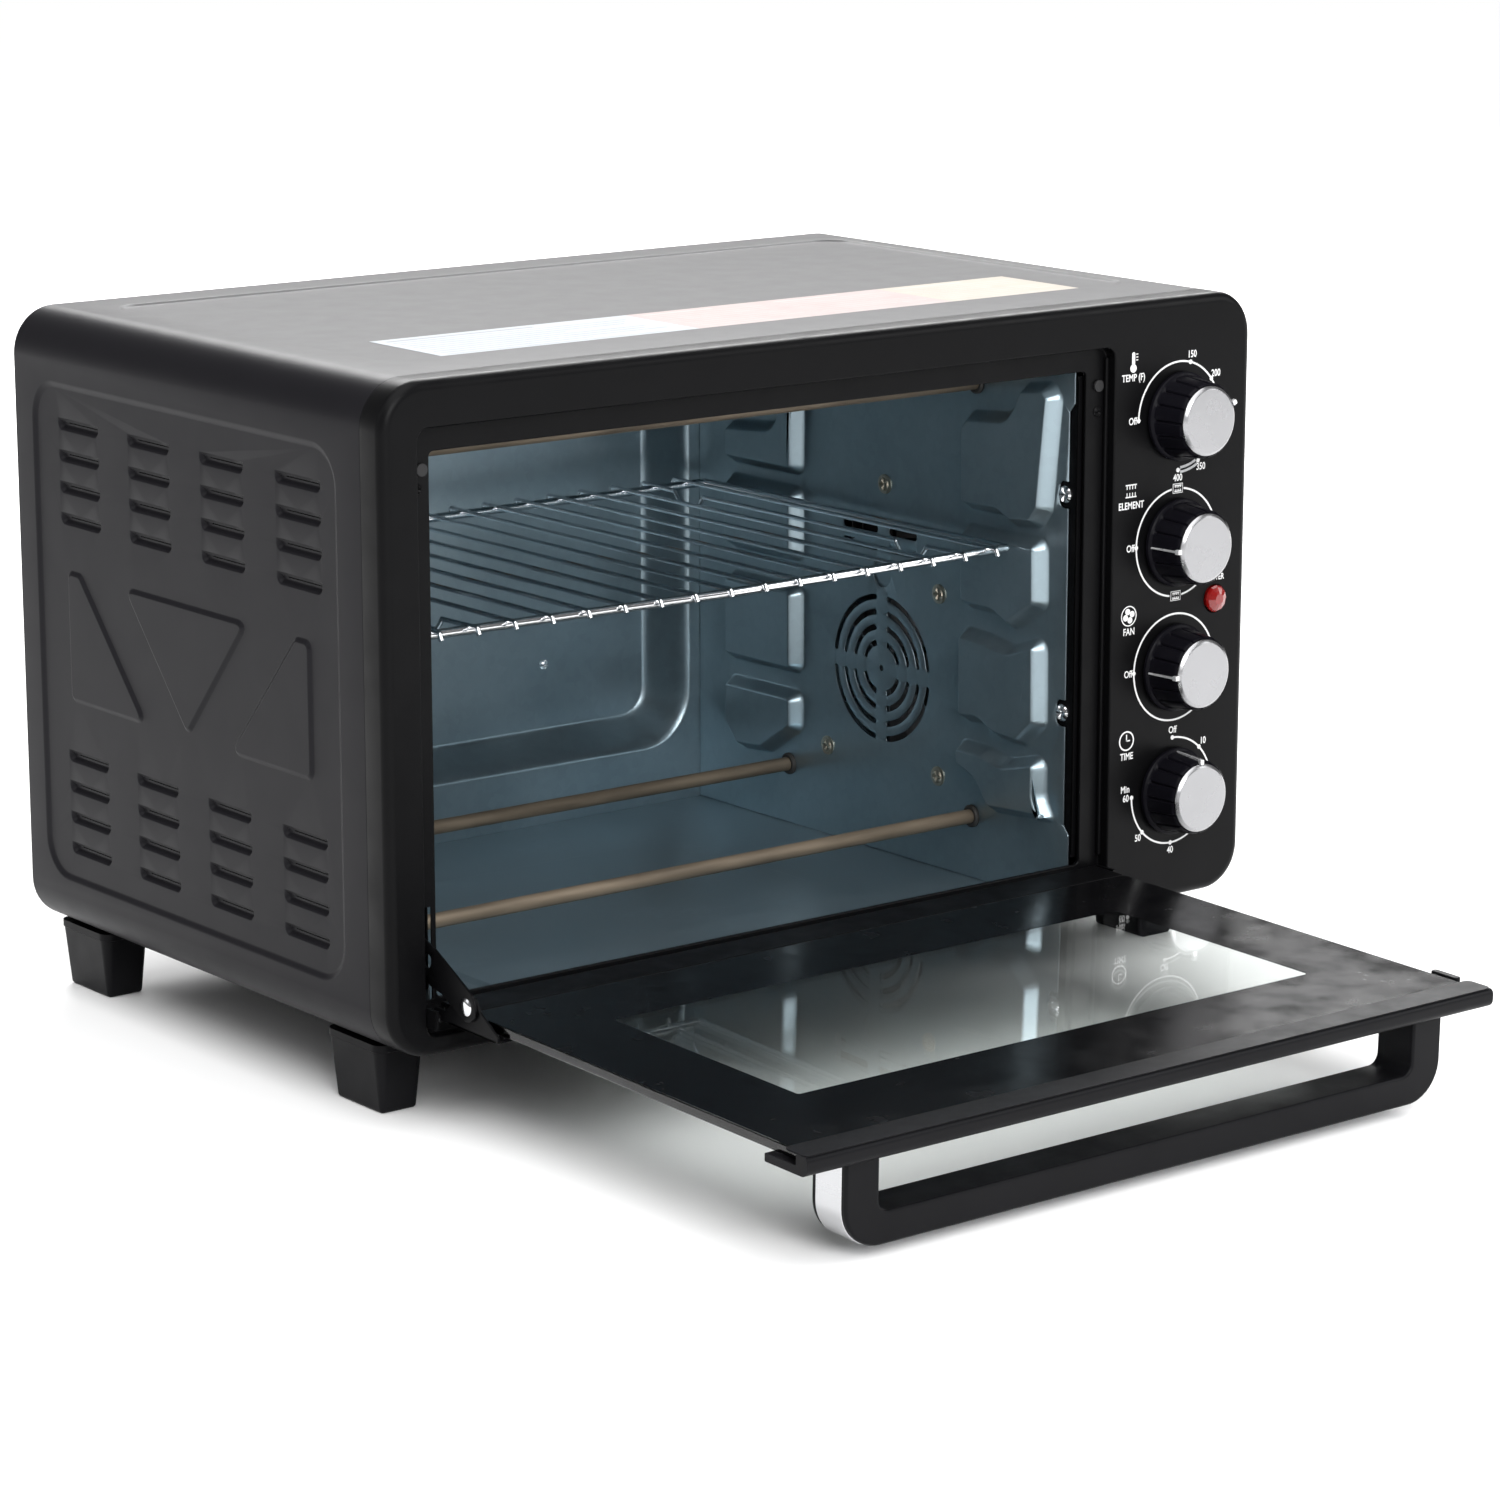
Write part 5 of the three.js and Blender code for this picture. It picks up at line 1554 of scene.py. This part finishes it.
@dataclass
class Rack:
    """Plated wire rack: a bent rim, cross wires with hooked tips and two pairs of stops."""

    bar: float = 2.0
    wire: float = 1.15
    wires: int = 17
    left: float = -204.5
    right: float = 132.0
    front: float = 2.9
    rear: float = 235.9
    rim_z: float = 194.2
    corner: float = 7.0
    tip: float = 4.0
    dip_start: float = 26.0
    dip_length: float = 18.0
    dip_depth: float = 8.0

    def wire_path(self, x: float, stops: bool) -> list[Vector]:
        """Path of one cross wire, front to back."""
        z = self.rim_z + self.bar + 0.75 * self.wire
        y0 = self.front - self.bar - 0.8 * self.wire
        y1 = self.rear + self.bar + 0.8 * self.wire
        points = [(x, y0, z - self.tip), (x, y0, z)]
        if stops:
            low = z - self.dip_depth
            for start in (self.front + self.dip_start, self.rear - self.dip_start - self.dip_length):
                end = start + self.dip_length
                points += [(x, start, z), (x, start, low), (x, end, low), (x, end, z)]
        points += [(x, y1, z), (x, y1, z - self.tip)]
        return bend_path(points, 2.4, 4)

    def build(self) -> None:
        """Makes the rack."""
        made = Build()
        z = self.rim_z
        middle = (self.left + self.right) / 2
        rim = [
            (middle, self.front, z), (self.right, self.front, z), (self.right, self.rear, z),
            (self.left, self.rear, z), (self.left, self.front, z), (middle, self.front, z),
        ]
        made.tube(bend_path(rim, self.corner, 8), self.bar, 14)
        pitch = (self.right - self.left) / (self.wires + 1)
        for i in range(1, self.wires + 1):
            made.tube(self.wire_path(self.left + i * pitch, i in (2, self.wires - 1)), self.wire, 10)
        made.finish("rack_wires", "rack", [CHROME], "chrome_wire", ["wire_rack"])


# ---- door -------------------------------------------------------------------
DROOP = math.radians(1.1)  # the open door hangs this far below level
HINGE = (0.0, -34.4, 47.3)
ALONG = (0.0, -math.cos(DROOP), -math.sin(DROOP))
AWAY = (0.0, -math.sin(DROOP), math.cos(DROOP))
DOOR = Plane((1, 0, 0), ALONG, AWAY, HINGE)
DOOR_SECTION = Plane(ALONG, AWAY, (1, 0, 0), HINGE)
DOOR_BOW = Plane((1, 0, 0), AWAY, ALONG, HINGE)


@dataclass
class Door:
    """Drop-down glass door in the open position: P is X, Q leads up the door."""

    glass_x: Point = (-210.25, 144.75)
    glass_along: Point = (17.0, 230.0)
    glass_away: Point = (1.75, 5.75)
    window_x: Point = (-169.0, 101.5)
    window_along: Point = (58.7, 176.0)
    window_radius: float = 1.5
    trim_x: Point = (-213.75, 148.25)
    handle_x: Point = (-190.25, 124.75)
    handle_along: Point = (210.6, 231.0)
    handle_away: Point = (-38.0, -2.25)
    post: float = 16.4
    grip: float = 13.0
    bow: float = 18.0
    strip_along: Point = (213.2, 228.4)
    cover_along: Point = (222.5, 236.0)
    cover_away: Point = (5.8, 6.4)
    clip_x: Point = (145.2, 148.7)
    clip_along: Point = (203.8, 218.8)
    clip_away: Point = (-0.6, 6.6)
    leaf_along: Point = (6.0, 41.0)
    leaf_top: float = 0.15
    leaf_sheet: float = 1.0
    pivot: Point = (-56.1, 57.0)
    link_rise: float = 26.0
    link_x: float = -213.6
    rivet_x: Point = (-216.1, -212.0)

    def glass(self) -> None:
        """The pane and the dark print on its inner face."""
        pane = Build()
        pane.prism(
            rectangle(*self.glass_x, *self.glass_along), DOOR, *self.glass_away, radius=3.0, edge=0.5,
        )
        pane.finish("door_pane", "door", [GLASS], "door_glass", ["door_glass"])
        drawn = Sheet()
        x0, x1 = self.glass_x
        a0, a1 = self.glass_along
        drawn.border(rectangle(x0 + 0.6, x1 - 0.6, a0 + 0.6, a1 - 0.6), 2.4)
        drawn.hole(rectangle(*self.window_x, *self.window_along), self.window_radius, steps=8)
        drawn.fill(0.0)
        border = Build()
        border.sheet(drawn, DOOR, self.glass_away[1] + 0.04)
        border.finish("door_print", "door", [PRINT_BLACK], "door_glass", thickness=0.03)

    def rail(self) -> None:
        """Folded channel along the hinge side of the glass."""
        made = Build()
        a0 = self.glass_along[0]
        outline = [
            (-3.0, 0.45), (-1.8, 0.45), (-1.8, 4.55), (a0 - 1.5, 4.55), (a0 - 1.5, 0.45), (a0 + 24.0, 0.45),
            (a0 + 24.0, 1.45), (a0 - 0.3, 1.45), (a0 - 0.3, 5.7), (-3.0, 5.7),
        ]
        radii = [0.0, 0.0, 0.4, 0.4, 0.4, 0.2, 0.2, 0.2, 0.5, 1.1]
        made.prism(outline, DOOR_SECTION, *self.glass_x, radius=radii, edge=0.3)
        made.finish("door_rail", "door", [BLACK], "black_enamel", ["door_lower_rail"])

    def trim(self) -> None:
        """Moulded rail with a rounded nose over the upper edge of the glass."""
        made = Build()
        g = self.glass_along[1]
        outline = [
            (212.0, -1.95), (237.0, -1.95), (237.0, 5.9), (g + 0.6, 5.9), (g + 0.3, 5.75), (g + 0.3, 1.6),
            (212.0, 1.45),
        ]
        made.prism(
            outline, DOOR_SECTION, *self.trim_x, radius=[0.6, 3.4, 2.2, 0.4, 0.1, 0.1, 0.4], edge=1.2,
            steps=6,
        )
        # a thin cover strip laps over the edge of the pane
        made.prism(
            rectangle(*self.trim_x, *self.cover_along), DOOR, *self.cover_away, radius=3.0, edge=0.25,
        )
        made.prism(
            rectangle(*self.clip_x, *self.clip_along), DOOR, *self.clip_away, radius=1.7, edge=0.6,
        )
        made.finish("door_trim", "door", [PLASTIC], "black_plastic", ["door_top_trim"])

    def handle(self) -> None:
        """Squared black bow with a bright strip round its outside."""
        x0, x1 = self.handle_x
        far, near = self.handle_away
        post, grip, bow = self.post, self.grip, self.bow
        made = Build()
        outline = [
            (x0, near), (x0, far), (x1, far), (x1, near),
            (x1 - post, near), (x1 - post, far + grip), (x0 + post, far + grip), (x0 + post, near),
        ]
        made.prism(
            outline, DOOR_BOW, *self.handle_along, radius=[0, bow, bow, 0, 0, 5.0, 5.0, 0], edge=1.3,
            steps=12,
        )
        made.finish("handle_bow", "door", [PLASTIC], "black_plastic", ["door_handle"])
        proud, sunk = 0.15, 1.1
        strip = Build()
        outline = [
            (x0 - proud, near - 0.6), (x0 - proud, far - proud), (x1 + proud, far - proud),
            (x1 + proud, near - 0.6), (x1 - sunk, near - 0.6), (x1 - sunk, far + sunk),
            (x0 + sunk, far + sunk), (x0 + sunk, near - 0.6),
        ]
        strip.prism(
            outline, DOOR_BOW, *self.strip_along, edge=0.3, steps=12,
            radius=[0, bow + proud, bow + proud, 0, 0, bow - sunk, bow - sunk, 0],
        )
        strip.finish("handle_band", "door", [BRUSHED], "brushed_trim", ["handle_strip"])

    def arms(self) -> None:
        """Hinge arms: an upright ear on each side and a leaf under the rail."""
        end = self.leaf_along[1]
        low = self.leaf_top - self.leaf_sheet
        for name, x0, x1, leaf, rise, shoulder in (
            ("left", -213.3, -212.1, -186.3, 14.3, 9.1), ("right", 146.6, 147.8, 120.8, 4.0, 1.8),
        ):
            ear = [
                (-4.0, low), (end, low), (end, self.glass_away[0]), (28.5, shoulder), (25.5, rise),
                (17.5, rise), (4.0, 4.0), (-4.0, 4.0),
            ]
            made = Build()
            made.prism(ear, DOOR_SECTION, x0, x1, radius=[1.5, 0.3, 0.3, 1.5, 2.0, 2.0, 1.5, 2.5], edge=0.2)
            made.prism(
                rectangle(min(x0, leaf), max(x1, leaf), *self.leaf_along), DOOR, low, self.leaf_top,
                radius=1.0, edge=0.2,
            )
            made.finish("arm_" + name, "door", [BLACK], "black_enamel", ["hinge_arm_" + name])

    def link(self) -> None:
        """Check link between the left arm and the slot in the front, with its rivet."""
        rise = math.radians(self.link_rise)
        along = (0.0, math.cos(rise), math.sin(rise))
        across = (0.0, -math.sin(rise), math.cos(rise))
        plane = Plane(along, across, (1, 0, 0), (0.0, *self.pivot))
        drawn = Sheet()
        drawn.border(
            [(-6.3, 6.3), (-6.3, -6.3), (16.0, -6.3), (24.0, -8.3), (46.0, -8.3), (46.0, 5.3), (28.0, 7.3)],
            [6.2, 6.2, 3.0, 3.0, 3.5, 1.5, 3.0],
        )
        drawn.hole(rectangle(27.5, 33.0, -3.5, 3.0), 2.6)
        drawn.fill(0.0)
        made = Build()
        made.sheet(drawn, plane, self.link_x)
        made.finish(
            "check_link_plate", "check_link", [BLACK], "black_enamel", ["door_check_link"], thickness=1.2,
        )
        rivet = Build()
        head = [
            (0.0, 0.0), (2.2, 0.1), (3.3, 0.5), (3.8, 1.0), (3.8, 1.3), (2.0, 1.3), (2.0, 4.3), (0.0, 4.3),
        ]
        washer = [(0.0, 0.0), (3.2, 0.0), (3.2, 0.3), (2.4, 0.6), (0.0, 0.7)]
        for profile, x in zip((head, washer), self.rivet_x):
            rivet.turned(profile, (x, *self.pivot), (1, 0, 0), 28)
        rivet.finish("arm_rivet", "door", [CHROME], "chrome_wire", ["link_rivet"])

    def build(self) -> None:
        """Makes the door."""
        self.glass()
        self.rail()
        self.trim()
        self.handle()
        self.arms()
        self.link()


# ---- feet and label ---------------------------------------------------------
@dataclass
class Feet:
    """Four tapered moulded feet."""

    height: float = 30.0
    taper: float = 2.6
    corner: float = 5.0

    def build(self) -> None:
        """Makes the feet."""
        for end in ("front", "rear"):
            for side in ("left", "right"):
                node = f"foot_{end}_{side}"
                b = Box.of(node)
                drawn = Sheet()
                face = drawn.outline(rectangle(b.x0, b.x1, b.y0, b.y1), self.corner, -self.height, steps=6)
                round_off = 1.6
                drawn.press(
                    face,
                    [(0.0, 3.0), (0.5, 0.4), (self.taper, self.height - 3.4 - round_off),
                     *reversed(fillet(round_off, 4, 1.0))],
                )
                bmesh.ops.holes_fill(drawn.bm, edges=drawn.bm.edges[:], sides=0)
                made = Build()
                made.sheet(drawn, BOTTOM, 0.0)
                bmesh.ops.recalc_face_normals(made.bm, faces=made.bm.faces[:])
                made.finish("moulded_" + node, "base", [PLASTIC], "black_plastic", [node])


@dataclass
class Label:
    """Paper notice on the top, with plain ruled lines in place of words."""

    x: Point = (-168.0, 180.0)
    y: Point = (22.0, 76.0)
    level: float = 305.0
    paper: float = 0.12
    splits: tuple[float, ...] = (0.0, 0.38, 0.585, 0.785, 1.0)
    lines: int = 9

    def build(self) -> None:
        """Makes the notice."""
        made = Build()
        x0, x1 = self.x
        y0, y1 = self.y
        low, high = self.level + 0.02, self.level + self.paper
        finishes = (0, 1, 1, 2)
        for start, end, finish in zip(self.splits, self.splits[1:], finishes):
            left, right = x0 + (x1 - x0) * start, x0 + (x1 - x0) * end
            made.prism(rectangle(left, right - 0.05, y0, y1), TOP, low, high, finish=finish)
            self.rule(made, left, right, 3 if finish == 0 else 4)
        made.finish(
            "top_notice", "base", [PAPER_WHITE, PAPER_RED, PAPER_YELLOW, PAPER_INK, PAPER_INK_RED],
            "charcoal_enamel",
        )

    def rule(self, made: Build, left: float, right: float, finish: int) -> None:
        """Ruled lines of one panel: a heavy heading over thin lines of uneven length."""
        y0, y1 = self.y
        low, high = self.level + self.paper, self.level + self.paper + 0.02
        pitch = (y1 - y0 - 10.0) / self.lines
        made.prism(rectangle(left + 5.0, left + 0.6 * (right - left), y1 - 7.0, y1 - 4.6), TOP, low, high,
                   finish=finish)
        for i in range(self.lines):
            y = y1 - 11.0 - i * pitch
            short = 0.62 if i % 4 == 3 else 0.94 - 0.03 * (i % 3)
            made.prism(
                rectangle(left + 5.0, left + short * (right - left), y - 0.45, y + 0.45), TOP, low, high,
                finish=finish,
            )


# ---- studio -----------------------------------------------------------------
@dataclass(frozen=True)
class Studio:
    """Pale floor, soft lights and the camera."""

    lens: float = 111.0
    sensor: float = 36.0
    camera_place: tuple[float, float, float] = (-1.2216, -1.5197, 0.573)
    camera_turn: tuple[float, float, float] = (76.953, 0.0, -38.174)
    floor_size: float = 60.0
    glow: float = 0.18
    sun_power: float = 2.9
    sun_width: float = 70.0
    sun_turn: tuple[float, float, float] = (14.0, -10.0, 0.0)
    # name, place, aim, size and power of each soft light
    softs: tuple[tuple[str, Sequence[float], Sequence[float], Point, float], ...] = (
        ("front_soft", (-0.9, -2.6, 1.5), (0, 0, 0.15), (1.6, 1.2), 60),
        ("left_soft", (-2.6, 0.9, 1.6), (0, 0, 0.2), (1.6, 1.6), 8),
        ("rear_soft", (1.75, 2.24, 2.1), (0, 0.1, 0.3), (2.4, 1.6), 125),
        ("right_soft", (2.2, -1.6, 1.4), (0, 0, 0.15), (1.2, 1.4), 22),
    )

    def area(
        self, name: str, place: Sequence[float], aim: Sequence[float], size: Point, power: float,
    ) -> None:
        """A soft rectangular light that looks at a point."""
        lamp = bpy.data.lights.new(name, "AREA")
        lamp.shape = "RECTANGLE"
        lamp.size, lamp.size_y = size
        lamp.energy = power
        holder = linked(name, lamp)
        holder.location = place
        holder.rotation_mode = "QUATERNION"
        holder.rotation_quaternion = (Vector(aim) - Vector(place)).to_track_quat("-Z", "Y")

    def world(self) -> None:
        """Even pale surroundings that are dimmer where things mirror them."""
        world = bpy.data.worlds.new("studio")
        world.use_nodes = True
        tree = world.node_tree
        tree.nodes.clear()
        path = tree.nodes.new("ShaderNodeLightPath")
        mix = tree.nodes.new("ShaderNodeMixShader")
        out = tree.nodes.new("ShaderNodeOutputWorld")
        for slot, strength in ((1, self.glow), (2, 1.0)):
            pale = tree.nodes.new("ShaderNodeBackground")
            pale.inputs["Color"].default_value = (1.0, 1.0, 1.0, 1.0)
            pale.inputs["Strength"].default_value = strength
            tree.links.new(pale.outputs["Background"], mix.inputs[slot])
        tree.links.new(path.outputs["Is Camera Ray"], mix.inputs["Fac"])
        tree.links.new(mix.outputs["Shader"], out.inputs["Surface"])
        bpy.context.scene.world = world

    def floor(self) -> None:
        """Plain pale floor."""
        part = bmesh.new()
        bmesh.ops.create_grid(part, x_segments=4, y_segments=4, size=self.floor_size / 2)
        mesh = bpy.data.meshes.new("floor")
        part.to_mesh(mesh)
        part.free()
        pale = Finish("pale_floor", (0.93, 0.93, 0.93), 0.9, specular=0.0, mottle=0.0, bump=0.0)
        mesh.materials.append(pale.material())
        linked("floor", mesh)

    def camera(self) -> None:
        """Camera at the viewing angle."""
        data = bpy.data.cameras.new("camera")
        data.lens = self.lens
        data.sensor_width = self.sensor
        data.clip_end = 200.0
        camera = linked("camera", data)
        camera.location = self.camera_place
        camera.rotation_euler = tuple(math.radians(angle) for angle in self.camera_turn)
        bpy.context.scene.camera = camera

    def overhead(self) -> None:
        """Wide, even light from above."""
        sun = bpy.data.lights.new("overhead", "SUN")
        sun.energy = self.sun_power
        sun.angle = math.radians(self.sun_width)
        linked("overhead", sun).rotation_euler = tuple(math.radians(angle) for angle in self.sun_turn)

    def build(self) -> None:
        """Sets up the whole studio."""
        bpy.context.scene.view_settings.view_transform = "Standard"
        self.world()
        self.floor()
        self.camera()
        self.overhead()
        for light in self.softs:
            self.area(*light)


def dress_nodes() -> None:
    """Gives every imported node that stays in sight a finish."""
    finishes = {
        "charcoal_enamel": CHARCOAL, "black_enamel": BLACK, "zinc_steel": ZINC, "element_sheath": SHEATH,
        "chrome_wire": CHROME, "cast_alloy": CAST, "brushed_trim": BRUSHED, "black_plastic": PLASTIC,
        "ceramic": CERAMIC, "door_glass": GLASS, "red_lens": RED, "dark_rubber": RUBBER,
    }
    slots = {part["node"]: part["material_slot"] for part in frame["record"]["subparts"]}
    for name, node in frame["nodes"].items():
        node.data.materials.clear()
        node.data.materials.append(finishes[slots[name]].material())


def main() -> None:
    """Builds the oven, piece by piece."""
    logging.basicConfig(level=logging.INFO, format="%(message)s")
    Studio().build()
    dress_nodes()
    parts = (
        Shell(),
        FrontFrame(),
        *(Dial(scale) for scale in SCALES),
        Lamp(),
        LinerWall("liner_right", "cavity_right_wall", LEFT, -137.0, True),
        LinerWall("liner_left", "cavity_left_wall", RIGHT, -209.5, False),
        CavityFloor(),
        RearPanel(),
        Elements(),
        Rack(),
        Door(),
        Feet(),
        Label(),
    )
    for part in parts:
        part.build()


if __name__ == "__main__":
    main()
